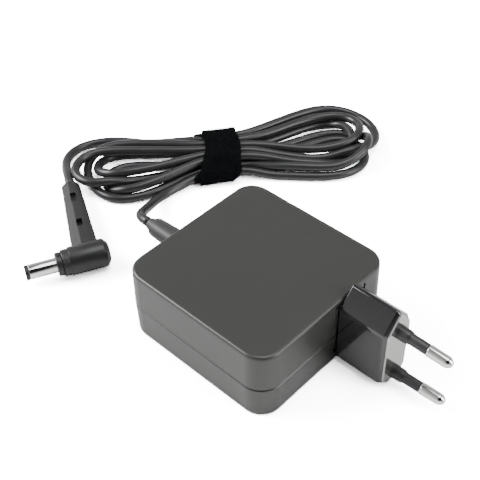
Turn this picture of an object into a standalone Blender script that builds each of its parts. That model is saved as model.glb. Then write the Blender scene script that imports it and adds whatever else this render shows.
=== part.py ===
"""Laptop power adapter: a square wall block with a pull-out mains plug head and a tied DC lead.

Frame: the origin is the centre of the block's underside, +Z is up, +X is the way the mains pins
point and the DC lead leaves through the -X wall. Lengths are written in millimetres times MM.
"""
import math

import bmesh
import bpy
import numpy as np
from mathutils import Matrix, Vector

MM = 0.001
GAP = 0.3 * MM                      # clearance between neighbouring pieces

# Housing block
BLOCK_SIDE = 61.2 * MM              # across the parting line, its widest level
BLOCK_HEIGHT = 27.2 * MM
CORNER_RADIUS = 7.8 * MM
DRAFT = 0.3 * MM                    # how far each wall leans in by the top and the bottom
SEAM_Z = 12.6 * MM
WALL = 2.0 * MM
LIP_THICKNESS = 0.9 * MM            # lip on the lower shell that locates the upper one
LIP_RISE = 1.6 * MM
CORNER_STEPS = 6

# Mains plug head, a module that pulls straight out of the +X wall
HEAD_Y = 10.3 * MM                  # centre line of the head and of both pins
HEAD_ROOT_X = 31.0 * MM
HEAD_FACE_X = 49.0 * MM             # engagement face, where the pins start
FACE_PLATE_THICKNESS = 0.4 * MM
HEAD_BEVEL = 0.6 * MM               # around the end of the head, so the face plate is a little smaller
HEAD_HALF = ((6.5, 2.8), (6.5, 22.6), (5.4, 25.8), (2.2, 29.3), (0.6, 30.8))   # side of the head, going up
HEAD_FLAT = (3.6, 0.2)              # corner of the flat bottom
HEAD_CENTRE = (6.5, 15.5, 15.3)     # half width, mid level and half height that an inset shrinks
HEAD_WALL = 1.5 * MM
CARRIER_HALF_WIDTH = 7.1 * MM       # tongue of the head that fills the pocket in the wall
CARRIER_X = (28.0 * MM, 30.6 * MM)
CARRIER_Z = (4.6 * MM, 25.2 * MM)
CARRIER_CORNER = 0.8 * MM

# Round pins of the unearthed 2.5 A European plug
PIN_LENGTH = 19.0 * MM
PIN_SLEEVE_LENGTH = 10.0 * MM
PIN_RADIUS = 2.0 * MM
PIN_CORE_RADIUS = 1.3 * MM
PIN_MID_Z = 13.6 * MM
PIN_SPACING_ROOT = 18.6 * MM
PIN_SPACING_TIP = 17.5 * MM
PIN_TILT = math.atan((PIN_SPACING_ROOT - PIN_SPACING_TIP) / 2 / PIN_LENGTH)
SLEEVE_RADIUS = 1.85 * MM
COLLAR_RADIUS = 2.25 * MM
COLLAR_LENGTH = 3.9 * MM
BLADE_OFFSET = 3.1 * MM             # contact blades stand this far either side of HEAD_Y
BLADE_HALF = 0.5 * MM
BLADE_Z = (12.0 * MM, 16.0 * MM)
BLADE_TIP_X = 21.0 * MM

# Lead, strap and DC plug
CORD_DIAMETER = 3.6 * MM
RELIEF_Z = 13.1 * MM
RELIEF_TIP_X = -51.8 * MM
HANK_CENTRE = Vector((-68.0, 55.0, 0.0)) * MM
HANK_YAW = math.radians(54.0)       # the way the long axis of the hank runs
HANK_Z = (1.6 * MM, 8.9 * MM)
STRAP_SPAN = (-9.0 * MM, 8.0 * MM)  # along the hank
STRAP_THICKNESS = 1.2 * MM
WAIST = (-12.8 * MM, 10.6 * MM)     # across the hank, under the strap
DC_AXIS_Z = 5.35 * MM
DC_CROSSING = Vector((-62.2, -22.0, 5.35)) * MM     # where the relief meets the plug's axis
DC_YAW = math.radians(-116.0)       # the way the barrel points
DC_RELIEF_YAW = math.radians(149.3)
DC_BODY_RADIUS = 5.25 * MM

# Hand-laid centre lines of the two loose stretches of lead, in millimetres
LEAD_IN_ROUTE = [(-52.5, 0.0, 13.1), (-56.2, 0.4, 12.7), (-60.2, 2.9, 10.5), (-63.5, 7.2, 7.6),
                 (-66.9, 12.9, 4.7), (-69.1, 18.6, 2.9), (-69.6, 25.3, 2.3), (-68.7, 31.8, 2.5),
                 (-67.2, 37.3, 3.4)]
LEAD_OUT_ROUTE = [(-98.7, 39.2, 3.6), (-105.0, 36.4, 2.9), (-111.2, 32.6, 2.2), (-116.4, 26.6, 2.0),
                  (-118.6, 19.2, 2.0), (-116.6, 12.4, 2.3), (-111.2, 7.4, 3.2), (-105.2, 3.6, 4.5),
                  (-99.3, 0.1, 5.3)]


# ---------------------------------------------------------------- building blocks
def material(name, colour, roughness, metallic=0.0):
    """A Principled material of one colour."""
    made = bpy.data.materials.new(name)
    made.use_nodes = True
    shader = made.node_tree.nodes["Principled BSDF"]
    shader.inputs["Base Color"].default_value = (*colour, 1.0)
    shader.inputs["Roughness"].default_value = roughness
    shader.inputs["Metallic"].default_value = metallic
    made.diffuse_color = (*colour, 1.0)
    return made


def add_object(name, data, finish):
    """Link a mesh or curve into the scene under its node name."""
    made = bpy.data.objects.new(name, data)
    bpy.context.scene.collection.objects.link(made)
    if finish:
        data.materials.append(material(name, *finish))
    return made


def mesh_from(bm, name, smooth_angle=None):
    """Turn a bmesh into mesh data with outward faces."""
    bmesh.ops.recalc_face_normals(bm, faces=bm.faces)
    mesh = bpy.data.meshes.new(name)
    bm.to_mesh(mesh)
    bm.free()
    if smooth_angle:
        mesh.shade_smooth()
        mesh.set_sharp_from_angle(angle=math.radians(smooth_angle))
    return mesh


def ring_stack(name, rings, finish, closed=False, smooth_angle=None):
    """Bridge a list of equal-count rings and cap both ends, or join the last ring to the first."""
    bm = bmesh.new()
    loops = [[bm.verts.new(point) for point in ring] for ring in rings]
    count = len(loops[0])
    pairs = list(zip(loops, loops[1:]))
    if closed:
        pairs.append((loops[-1], loops[0]))
    for lower, upper in pairs:
        for i in range(count):
            j = (i + 1) % count
            bm.faces.new((lower[i], lower[j], upper[j], upper[i]))
    if not closed:
        bm.faces.new(loops[0])
        bm.faces.new(loops[-1])
    return add_object(name, mesh_from(bm, name, smooth_angle), finish)


def rounded_square(inset, z):
    """Outline of the block, moved in by inset, at height z."""
    half = BLOCK_SIDE / 2 - inset
    radius = CORNER_RADIUS - inset
    points = []
    for quarter, (sx, sy) in enumerate(((1, 1), (-1, 1), (-1, -1), (1, -1))):
        for step in range(CORNER_STEPS + 1):
            angle = math.pi / 2 * (quarter + step / CORNER_STEPS)
            points.append((sx * (half - radius) + radius * math.cos(angle),
                           sy * (half - radius) + radius * math.sin(angle), z))
    return points


def box(name, low, high, finish=None):
    """Axis-aligned box between two corners."""
    bm = bmesh.new()
    bmesh.ops.create_cube(bm, size=1.0)
    low, high = Vector(low), Vector(high)
    bmesh.ops.scale(bm, vec=high - low, verts=bm.verts)
    bmesh.ops.translate(bm, vec=(low + high) / 2, verts=bm.verts)
    return add_object(name, mesh_from(bm, name), finish)


def turned(name, profile, finish=None, segments=20, place=Matrix.Identity(4), closed=False):
    """Turn a profile of (distance along the axis, radius) about local X, then place it.

    Ends at radius 0 close in a point; a closed profile makes a tube.
    """
    bm = bmesh.new()
    rings = []
    for along, radius in profile:
        if radius == 0:
            rings.append([bm.verts.new(place @ Vector((along, 0, 0)))])
            continue
        angles = [2 * math.pi * i / segments for i in range(segments)]
        rings.append([bm.verts.new(place @ Vector((along, radius * math.cos(a), radius * math.sin(a))))
                      for a in angles])
    pairs = list(zip(rings, rings[1:]))
    if closed:
        pairs.append((rings[-1], rings[0]))
    for first, second in pairs:
        for i in range(segments):
            j = (i + 1) % segments
            corners = [first[i % len(first)], first[j % len(first)],
                       second[j % len(second)], second[i % len(second)]]
            bm.faces.new(list(dict.fromkeys(corners)))
    return add_object(name, mesh_from(bm, name, 35), finish)


def extruded(name, outline, axis, low, high, finish=None):
    """Extrude a closed outline of 2-D points along X, Y or Z."""
    order = {"X": lambda a, b, c: (c, a, b), "Y": lambda a, b, c: (a, c, b), "Z": lambda a, b, c: (a, b, c)}
    put = order[axis]
    return ring_stack(name, [[put(a, b, low) for a, b in outline], [put(a, b, high) for a, b in outline]],
                      finish)


def cut(target, cutter):
    """Subtract a cutter, which stays in the file as a hidden wire guide."""
    cutter.display_type = "WIRE"
    cutter.hide_render = True
    cutter.name = "cutter_" + cutter.name
    boolean = target.modifiers.new("cut", "BOOLEAN")
    boolean.operation = "DIFFERENCE"
    boolean.solver = "EXACT"
    boolean.object = cutter


def about(point, yaw=0.0, tilt=0.0):
    """Placement of a turned piece: its local X leaves point at a yaw about Z and a tilt about Y."""
    return Matrix.Translation(point) @ Matrix.Rotation(yaw, 4, "Z") @ Matrix.Rotation(tilt, 4, "Y")


def smooth_route(points, spacing):
    """Even points along a Catmull-Rom curve through a route given in millimetres."""
    route = np.array(points) * MM
    padded = np.vstack([2 * route[0] - route[1], route, 2 * route[-1] - route[-2]])
    dense = []
    for a, b, c, d in zip(padded, padded[1:], padded[2:], padded[3:]):
        for t in np.linspace(0.0, 1.0, 20, endpoint=False):
            dense.append(0.5 * (2 * b + (c - a) * t + (2 * a - 5 * b + 4 * c - d) * t ** 2
                                + (3 * b - a - 3 * c + d) * t ** 3))
    dense.append(route[-1])
    dense = np.array(dense)
    travelled = np.concatenate([[0.0], np.cumsum(np.linalg.norm(np.diff(dense, axis=0), axis=1))])
    steps = max(2, round(travelled[-1] / spacing))
    stations = np.linspace(0.0, travelled[-1], steps + 1)
    return [Vector([np.interp(s, travelled, dense[:, k]) for k in range(3)]) for s in stations]


def tube(name, points, radius, finish, resolution=2):
    """A capped round tube along a list of points."""
    curve = bpy.data.curves.new(name, "CURVE")
    curve.dimensions = "3D"
    curve.bevel_depth = radius
    curve.bevel_resolution = resolution
    curve.use_fill_caps = True
    spline = curve.splines.new("POLY")
    spline.points.add(len(points) - 1)
    for target, point in zip(spline.points, points):
        target.co = (*point, 1.0)
    return add_object(name, curve, finish)


# ---------------------------------------------------------------- finishes
HOUSING_BLACK = ((0.060, 0.060, 0.056), 0.42)
HEAD_BLACK = ((0.050, 0.050, 0.052), 0.25)
FACE_GREY = ((0.52, 0.52, 0.50), 0.35)
SOFT_BLACK = ((0.055, 0.055, 0.057), 0.5)
STRAP_BLACK = ((0.012, 0.013, 0.013), 0.95)
NICKEL = ((0.72, 0.71, 0.69), 0.18, 1.0)
BRASS = ((0.78, 0.57, 0.24), 0.3, 1.0)
BOARD_GREEN = ((0.05, 0.20, 0.08), 0.5)
FERRITE = ((0.045, 0.045, 0.05), 0.7)
COPPER = ((0.72, 0.30, 0.12), 0.35, 1.0)
TAPE_YELLOW = ((0.80, 0.58, 0.08), 0.5)
SLEEVE_BLUE = ((0.03, 0.05, 0.16), 0.35)
ALUMINIUM = ((0.62, 0.63, 0.65), 0.35, 1.0)
PART_BLACK = ((0.025, 0.025, 0.027), 0.45)
DISC_BLUE = ((0.05, 0.22, 0.48), 0.45)
CERAMIC = ((0.82, 0.79, 0.70), 0.4)
CLEAR_SHEET = ((0.75, 0.75, 0.70), 0.5)
WIRE_RED = ((0.55, 0.03, 0.03), 0.45)
WIRE_BLACK = ((0.02, 0.02, 0.02), 0.45)


# ---------------------------------------------------------------- housing
def upper_shell():
    seam = SEAM_Z + GAP / 2
    rings = [(1.5 * MM, BLOCK_HEIGHT), (0.95 * MM, BLOCK_HEIGHT - 0.1 * MM),
             (DRAFT + 0.15 * MM, BLOCK_HEIGHT - 0.45 * MM), (DRAFT, BLOCK_HEIGHT - 1.1 * MM),
             (0.0, seam), (WALL, seam), (WALL + DRAFT, BLOCK_HEIGHT - WALL)]
    shell = ring_stack("top_shell", [rounded_square(inset, z) for inset, z in rings], HOUSING_BLACK,
                       smooth_angle=30)
    open_walls(shell, "top")


def lower_shell():
    seam = SEAM_Z - GAP / 2
    lip_outer = WALL + DRAFT
    lip_inner = lip_outer + LIP_THICKNESS
    rings = [(1.3 * MM, 0.0), (DRAFT + 0.2 * MM, 0.35 * MM), (DRAFT, 1.0 * MM), (0.0, seam),
             (lip_outer, seam), (lip_outer, seam + LIP_RISE), (lip_inner, seam + LIP_RISE),
             (lip_inner, WALL)]
    shell = ring_stack("bottom_shell", [rounded_square(inset, z) for inset, z in rings], HOUSING_BLACK,
                       smooth_angle=30)
    open_walls(shell, "bottom")


def open_walls(shell, level):
    """Cut the plug head's pocket through +X and the strain relief's seat through -X."""
    pocket = box("pocket_" + level,
                 (CARRIER_X[0] - 3 * MM, HEAD_Y - CARRIER_HALF_WIDTH - GAP, CARRIER_Z[0] - GAP),
                 (BLOCK_SIDE, HEAD_Y + CARRIER_HALF_WIDTH + GAP, CARRIER_Z[1] + GAP))
    cut(shell, pocket)
    wall_x = -BLOCK_SIDE / 2
    seat = [(wall_x - 5 * MM, 0), (wall_x - 5 * MM, 4.4 * MM), (wall_x + 1.9 * MM, 4.4 * MM),
            (wall_x + 1.9 * MM, 5.8 * MM), (wall_x + 8 * MM, 5.8 * MM), (wall_x + 8 * MM, 0)]
    cut(shell, turned("relief_seat_" + level, seat, place=about((0, 0, RELIEF_Z))))


def strain_relief():
    """Tapered boot moulded on the lead, its flange trapped behind the -X wall."""
    wall_x = -BLOCK_SIDE / 2
    profile = [(wall_x + 3.6 * MM, 0), (wall_x + 3.6 * MM, 5.4 * MM), (wall_x + 2.3 * MM, 5.4 * MM),
               (wall_x + 2.3 * MM, 4.1 * MM), (wall_x - GAP, 4.1 * MM), (wall_x - GAP, 4.6 * MM),
               (RELIEF_TIP_X + 2.2 * MM, 2.75 * MM), (RELIEF_TIP_X + 2.0 * MM, 2.4 * MM),
               (RELIEF_TIP_X, 2.4 * MM), (RELIEF_TIP_X, 0)]
    turned("cord_strain_relief", profile, SOFT_BLACK, place=about((0, 0, RELIEF_Z)))


# ---------------------------------------------------------------- plug head
def mirrored(x, half, lowest):
    """Twelve-sided section that is the same on both sides of the head's centre line."""
    pairs = [(-y, z) for y, z in half] + [(y, z) for y, z in reversed(half)]
    pairs += [lowest, (-lowest[0], lowest[1])]
    return [(x, HEAD_Y + y * MM, z * MM) for y, z in pairs]


def head_section(x, inset=0.0):
    """Tall section with a narrow crest; the flat bottom keeps it level with the block's underside."""
    half_width, middle, half_height = HEAD_CENTRE
    thinner, lower = 1 - inset / MM / half_width, 1 - inset / MM / half_height

    def shrunk(y, z):
        return y * thinner, middle + (z - middle) * lower

    return mirrored(x, [shrunk(*corner) for corner in HEAD_HALF], shrunk(*HEAD_FLAT))


def carrier_section(x):
    """Rectangle with clipped corners that fills the wall pocket."""
    half, low, high = CARRIER_HALF_WIDTH / MM, CARRIER_Z[0] / MM, CARRIER_Z[1] / MM
    clip = CARRIER_CORNER / MM
    side = [(half, low + clip), (half, high - clip), (half - clip, high), (2.2, high), (0.6, high)]
    return mirrored(x, side, (half - clip, low))


def blade_y(side):
    return HEAD_Y + side * BLADE_OFFSET


def pin_z(side):
    return PIN_MID_Z + side * PIN_SPACING_ROOT / 2


def plug_head():
    rim_x = HEAD_FACE_X - FACE_PLATE_THICKNESS - GAP
    housing = ring_stack("plug_head_housing", [
        carrier_section(CARRIER_X[0]), carrier_section(CARRIER_X[1]), head_section(HEAD_ROOT_X),
        head_section(rim_x - HEAD_BEVEL), head_section(rim_x, HEAD_BEVEL), head_section(rim_x, HEAD_WALL),
        head_section(HEAD_ROOT_X + HEAD_WALL, HEAD_WALL)], HEAD_BLACK)
    plate = ring_stack("plug_face_plate", [head_section(HEAD_FACE_X - FACE_PLATE_THICKNESS, HEAD_BEVEL),
                                           head_section(HEAD_FACE_X, HEAD_BEVEL)], FACE_GREY)
    for label, side in (("upper", 1), ("lower", -1)):
        slot_y = blade_y(side)
        cut(housing, box("blade_slot_" + label,
                         (CARRIER_X[0] - MM, slot_y - BLADE_HALF - GAP, BLADE_Z[0] - GAP),
                         (HEAD_ROOT_X + 3 * MM, slot_y + BLADE_HALF + GAP, BLADE_Z[1] + GAP)))
        hole = [(-5 * MM, 0), (-5 * MM, COLLAR_RADIUS + GAP), (5 * MM, COLLAR_RADIUS + GAP), (5 * MM, 0)]
        place = about((HEAD_FACE_X, HEAD_Y, pin_z(side)), tilt=side * PIN_TILT)
        cut(plate, turned("pin_hole_" + label, hole, place=place))
        mains_pin(label, place)
        head_contact(label, side)


def mains_pin(label, place):
    """Solid pin with a necked core, and the insulating sleeve and collar around the neck."""
    shoulder = PIN_SLEEVE_LENGTH + GAP
    pin = [(-5.1 * MM, 0), (-5.1 * MM, PIN_RADIUS), (-4.1 * MM, PIN_RADIUS), (-4.1 * MM, PIN_CORE_RADIUS),
           (shoulder, PIN_CORE_RADIUS), (shoulder, PIN_RADIUS), (PIN_LENGTH - 1.4 * MM, PIN_RADIUS),
           (PIN_LENGTH - 0.5 * MM, 0.78 * PIN_RADIUS), (PIN_LENGTH - 0.1 * MM, 0.42 * PIN_RADIUS),
           (PIN_LENGTH, 0)]
    turned("plug_pin_" + label, pin, NICKEL, place=place)
    bore = PIN_CORE_RADIUS + GAP
    sleeve = [(-3.7 * MM, bore), (-3.7 * MM, COLLAR_RADIUS), (COLLAR_LENGTH, COLLAR_RADIUS),
              (COLLAR_LENGTH, SLEEVE_RADIUS), (PIN_SLEEVE_LENGTH, SLEEVE_RADIUS), (PIN_SLEEVE_LENGTH, bore)]
    turned("pin_sleeve_" + label, sleeve, PART_BLACK, place=place, closed=True)


def head_contact(label, side):
    """Brass strip from the back of a pin to a blade that reaches into the block."""
    foot_x = (42.4 * MM, 43.4 * MM)
    outer_y = blade_y(side) + side * BLADE_HALF
    inner_y = outer_y - side * 2 * BLADE_HALF
    foot_y = HEAD_Y + side * GAP
    outline = [(BLADE_TIP_X, inner_y), (foot_x[0], inner_y), (foot_x[0], foot_y), (foot_x[1], foot_y),
               (foot_x[1], outer_y), (BLADE_TIP_X, outer_y)]
    levels = sorted((pin_z(side) + side * 1.2 * MM, BLADE_Z[0] if side > 0 else BLADE_Z[1]))
    strip = extruded("head_contact_" + label, outline, "Z", *levels, finish=BRASS)
    low, high = (BLADE_Z[1], BLOCK_HEIGHT) if side > 0 else (-MM, BLADE_Z[0])
    cut(strip, box("blade_trim_" + label, (BLADE_TIP_X - MM, 0, low), (foot_x[0], 2 * HEAD_Y, high)))


# ---------------------------------------------------------------- electronics
BOARD_Z = (3.4 * MM, 5.0 * MM)
PART_Z = BOARD_Z[1] + GAP           # underside of everything mounted on the board


def board_and_sheet():
    for name, finish, inset, (low, high) in (
            ("insulation_sheet", CLEAR_SHEET, 3.8 * MM, (WALL + GAP, WALL + GAP + 0.4 * MM)),
            ("circuit_board", BOARD_GREEN, 3.9 * MM, BOARD_Z)):
        ring_stack(name, [rounded_square(inset, low), rounded_square(inset, high)], finish)


def block_part(name, centre, size, finish):
    """Rectangular part standing on the board; centre and size in millimetres."""
    (x, y), (dx, dy, dz) = centre, size
    return box(name, ((x - dx / 2) * MM, (y - dy / 2) * MM, PART_Z),
               ((x + dx / 2) * MM, (y + dy / 2) * MM, PART_Z + dz * MM), finish)


def can_part(name, centre, radius, height, finish):
    """Round can standing on the board with a rolled top edge."""
    place = (Matrix.Translation((centre[0] * MM, centre[1] * MM, PART_Z))
             @ Matrix.Rotation(-math.pi / 2, 4, "Y"))
    r, h = radius * MM, height * MM
    return turned(name, [(0, 0), (0, r), (h - 0.6 * MM, r), (h, r - 0.6 * MM), (h, 0)], finish, 16, place)


def toroid(name, centre, ring_radius, wire_radius, finish):
    """Wound ring core lying on the board."""
    bm = bmesh.new()
    count, sides = 20, 8
    height = PART_Z + wire_radius * MM
    rings = []
    for i in range(count):
        turn = 2 * math.pi * i / count
        ring = []
        for j in range(sides):
            angle = 2 * math.pi * (j + 0.5) / sides
            reach = (ring_radius + wire_radius * math.cos(angle)) * MM
            ring.append(bm.verts.new((centre[0] * MM + reach * math.cos(turn),
                                      centre[1] * MM + reach * math.sin(turn),
                                      height + wire_radius * MM * math.sin(angle))))
        rings.append(ring)
    for i in range(count):
        for j in range(sides):
            bm.faces.new((rings[i][j], rings[i][(j + 1) % sides],
                          rings[(i + 1) % count][(j + 1) % sides], rings[(i + 1) % count][j]))
    return add_object(name, mesh_from(bm, name, 60), finish)


def transformer():
    """Window core, with the winding through its window."""
    low, high = PART_Z, PART_Z + 17 * MM
    window_low, window_high = low + 4 * MM, high - 4 * MM
    core = [[(x, y, z) for y, z in outline] for x, outline in (
        (-12 * MM, [(-10 * MM, low), (8 * MM, low), (8 * MM, high), (-10 * MM, high)]),
        (0.0, [(-10 * MM, low), (8 * MM, low), (8 * MM, high), (-10 * MM, high)]),
        (0.0, [(-7 * MM, window_low), (5 * MM, window_low), (5 * MM, window_high), (-7 * MM, window_high)]),
        (-12 * MM, [(-7 * MM, window_low), (5 * MM, window_low), (5 * MM, window_high),
                    (-7 * MM, window_high)]))]
    ring_stack("transformer_core", core, FERRITE, closed=True)
    box("transformer_winding", (-15.5 * MM, -7 * MM + GAP, window_low + GAP),
        (3.5 * MM, 5 * MM - GAP, window_high - GAP), TAPE_YELLOW)


def contact_spring(name, side):
    """Brass fork on the board that grips one blade of the plug head."""
    y, arm = blade_y(side), 0.9 * MM
    inner = BLADE_HALF + GAP
    outline = [(y - inner - arm, PART_Z), (y + inner + arm, PART_Z), (y + inner + arm, BLADE_Z[1] + MM),
               (y + inner, BLADE_Z[1] + MM), (y + inner, BLADE_Z[0] - MM), (y - inner, BLADE_Z[0] - MM),
               (y - inner, BLADE_Z[1] + MM), (y - inner - arm, BLADE_Z[1] + MM)]
    extruded(name, outline, "X", 21.5 * MM, 25.5 * MM, BRASS)


def electronics():
    board_and_sheet()
    contact_spring("contact_spring_live", 1)
    contact_spring("contact_spring_neutral", -1)
    fuse_place = Matrix.Translation((6 * MM, 20.5 * MM, PART_Z + 2.5 * MM))
    turned("fuse", [(0, 0), (0, 2.5 * MM), (2 * MM, 2.5 * MM), (2 * MM, 2.2 * MM), (10 * MM, 2.2 * MM),
                    (10 * MM, 2.5 * MM), (12 * MM, 2.5 * MM), (12 * MM, 0)], CERAMIC, 12, fuse_place)
    toroid("common_mode_choke", (14, -3), 5.2, 2.6, COPPER)
    block_part("x_capacitor", (14, -15.5), (16, 6.5, 12), TAPE_YELLOW)
    block_part("bridge_rectifier", (14, -23), (14, 3.5, 10), PART_BLACK)
    can_part("bulk_capacitor_1", (-0.5, 19), 5.5, 18, SLEEVE_BLUE)
    can_part("bulk_capacitor_2", (12, 11.2), 5.5, 18, SLEEVE_BLUE)
    transformer()
    block_part("switching_transistor", (1.2, -19), (4.4, 10, 15), PART_BLACK)
    block_part("primary_heat_sink", (-2.5, -19), (2, 13, 16.5), ALUMINIUM)
    block_part("optocoupler", (-8, -14.2), (4.6, 6.5, 3.5), PART_BLACK)
    block_part("controller_chip", (-8, -21.5), (5, 4, 1.6), PART_BLACK)
    y_place = Matrix.Translation((-18.5 * MM, -20.5 * MM, PART_Z + 4 * MM))
    turned("y_capacitor", [(0, 0), (0, 3.2 * MM), (0.8 * MM, 4 * MM), (2.2 * MM, 4 * MM),
                           (3 * MM, 3.2 * MM), (3 * MM, 0)], DISC_BLUE, 14, y_place)
    block_part("output_rectifier", (-19.2, -9), (4.5, 10, 14), PART_BLACK)
    block_part("secondary_heat_sink", (-23.1, -9.5), (2, 12, 16), ALUMINIUM)
    can_part("output_capacitor_1", (-19, 8.5), 4, 13, SLEEVE_BLUE)
    can_part("output_capacitor_2", (-20.5, 19), 4, 13, SLEEVE_BLUE)
    toroid("output_choke", (-11.5, 14.5), 3.4, 1.8, COPPER)
    for name, side, finish in (("output_wire_positive", 1, WIRE_RED),
                               ("output_wire_negative", -1, WIRE_BLACK)):
        route = [(-22.0, 1.4 * side, 5.4), (-22.2, 1.4 * side, 9.0), (-23.6, 1.3 * side, 11.8),
                 (-26.4, 1.3 * side, 12.9)]
        tube(name, smooth_route(route, 1.8 * MM), 0.8 * MM, finish)


# ---------------------------------------------------------------- lead, strap and DC plug
def on_hank(along, across, z):
    """World point from a place along and across the hank."""
    cos, sin = math.cos(HANK_YAW), math.sin(HANK_YAW)
    return (HANK_CENTRE.x + along * cos - across * sin, HANK_CENTRE.y + along * sin + across * cos, z)


def rounded_end(along, across, reach, half, way):
    """Half an ellipse that closes one end of the hank."""
    angles = [math.radians(a) for a in range(-75, 76, 25)]
    return [(along + way * reach * math.cos(a), across + way * half * math.sin(a)) for a in angles]


def hank():
    """Solid outer shape of the folded and tied lead: two lobes with a waist under the strap.

    The outline steps in where a loose stretch of lead meets it end to end.
    """
    lower, upper = WAIST[0] / MM, WAIST[1] / MM
    right = rounded_end(43.0, 0.8, 24.0, 23.0, 1)
    left = rounded_end(-38.0, -1.6, 22.5, 15.6, -1)
    outline = ([(-12.7, lower), (8.0, lower), (24.0, -17.8)] + right
               + [(22.0, 16.2), (8.0, upper), (-9.0, upper), (-29.7, 17.6), (-29.7, 13.4)] + left
               + [(-20.0, -10.2), (-12.7, -8.6)])
    rings = [[on_hank(a * MM, b * MM, z) for a, b in outline] for z in HANK_Z]
    ring_stack("cord_hank", rings, SOFT_BLACK)


def strap():
    """Hook-and-loop band closed around the waist of the hank."""
    def band(margin):
        across = (WAIST[0] - margin, WAIST[1] + margin)
        levels = (HANK_Z[0] - margin, HANK_Z[1] + margin)
        radius = 0.2 * MM + margin
        points = []
        for quarter, (a, z) in enumerate(((across[1], levels[1]), (across[0], levels[1]),
                                          (across[0], levels[0]), (across[1], levels[0]))):
            side_a = 1 if a == across[1] else -1
            side_z = 1 if z == levels[1] else -1
            for step in range(5):
                angle = math.pi / 2 * (quarter + step / 4)
                points.append((a - side_a * radius + radius * math.cos(angle),
                               z - side_z * radius + radius * math.sin(angle)))
        return points
    inner, outer = band(GAP), band(GAP + STRAP_THICKNESS)
    start, end = STRAP_SPAN
    rings = [[on_hank(along, a, z) for a, z in outline]
             for along, outline in ((start, outer), (end, outer), (end, inner), (start, inner))]
    ring_stack("hook_and_loop_strap", rings, STRAP_BLACK, closed=True)


def dc_plug():
    place = about(DC_CROSSING, DC_YAW)
    r = DC_BODY_RADIUS
    turned("dc_plug_body", [(-8.1 * MM, 0), (-8.1 * MM, r - 1.7 * MM), (-6.6 * MM, r), (6.0 * MM, r),
                            (6.3 * MM, r - 0.35 * MM), (8.6 * MM, r - 0.35 * MM), (9.0 * MM, r - 0.7 * MM),
                            (9.0 * MM, 0)], SOFT_BLACK, 24, place)
    turned("dc_plug_nose", [(9.3 * MM, 0), (9.3 * MM, 4.3 * MM), (10.8 * MM, 4.3 * MM), (11.1 * MM, 4.0 * MM),
                            (11.1 * MM, 0)], SOFT_BLACK, 24, place)
    turned("dc_barrel", [(11.4 * MM, 0), (11.4 * MM, 2.75 * MM), (20.9 * MM, 2.75 * MM),
                         (20.9 * MM, 2.3 * MM), (12.2 * MM, 2.3 * MM), (12.2 * MM, 0)], NICKEL, 24, place)
    turned("dc_tip_ring", [(21.2 * MM, 1.3 * MM), (21.2 * MM, 2.75 * MM), (22.1 * MM, 2.75 * MM),
                           (22.4 * MM, 2.45 * MM), (22.4 * MM, 1.3 * MM)], PART_BLACK, 24, place, closed=True)
    turned("dc_inner_contact", [(12.6 * MM, 1.25 * MM), (12.6 * MM, 1.7 * MM), (20.9 * MM, 1.7 * MM),
                                (20.9 * MM, 1.25 * MM)], BRASS, 16, place, closed=True)
    dc_relief(place)


def dc_relief(plug_place):
    """Tapered eight-sided boot that leaves the plug body sideways, with two flex windows on top."""
    place = about(DC_CROSSING, DC_RELIEF_YAW)

    def section(along, half_width, half_height):
        clip = 0.38
        pairs = [(-1, -1 + 2 * clip), (-1, 1 - 2 * clip), (-1 + 2 * clip, 1), (1 - 2 * clip, 1),
                 (1, 1 - 2 * clip), (1, -1 + 2 * clip), (1 - 2 * clip, -1), (-1 + 2 * clip, -1)]
        return [place @ Vector((along, a * half_width, b * half_height)) for a, b in pairs]

    boot = ring_stack("dc_strain_relief", [section(2.0 * MM, 4.4 * MM, 4.1 * MM),
                                           section(41.6 * MM, 3.3 * MM, 3.0 * MM),
                                           section(42.5 * MM, 2.5 * MM, 2.4 * MM)], SOFT_BLACK)
    hollow = [(-15 * MM, 0), (-15 * MM, DC_BODY_RADIUS + GAP), (15 * MM, DC_BODY_RADIUS + GAP), (15 * MM, 0)]
    cut(boot, turned("plug_body_clearance", hollow, segments=24, place=plug_place))
    for index, along in enumerate((15.4, 31.0)):
        window = box(f"flex_window_{index}", ((along - 1.9) * MM, -1.0 * MM, 1.9 * MM),
                     ((along + 1.9) * MM, 1.0 * MM, 8.0 * MM))
        window.matrix_world = place
        cut(boot, window)


def lead():
    tube("cord_lead_in", smooth_route(LEAD_IN_ROUTE, 2 * CORD_DIAMETER), CORD_DIAMETER / 2, SOFT_BLACK)
    tube("cord_lead_out", smooth_route(LEAD_OUT_ROUTE, 2 * CORD_DIAMETER), CORD_DIAMETER / 2, SOFT_BLACK)


def main():
    for old in list(bpy.data.objects):
        bpy.data.objects.remove(old, do_unlink=True)
    upper_shell()
    lower_shell()
    strain_relief()
    plug_head()
    electronics()
    hank()
    strap()
    lead()
    dc_plug()


main()
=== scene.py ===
# %% [markdown]
# # A laptop power adapter with a folded lead
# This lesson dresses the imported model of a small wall-plug adapter: a rounded square block, a mains
# plug head, a thin lead folded up in a hook-and-loop strap, and an angled DC plug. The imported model
# is a fixed frame. Each new piece is made in the same place as the part it stands for, so nothing
# has to be fitted afterwards.

# %% Load the frame
import math
import bmesh
import bpy
import numpy as np
from mathutils import Matrix, Vector


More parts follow.
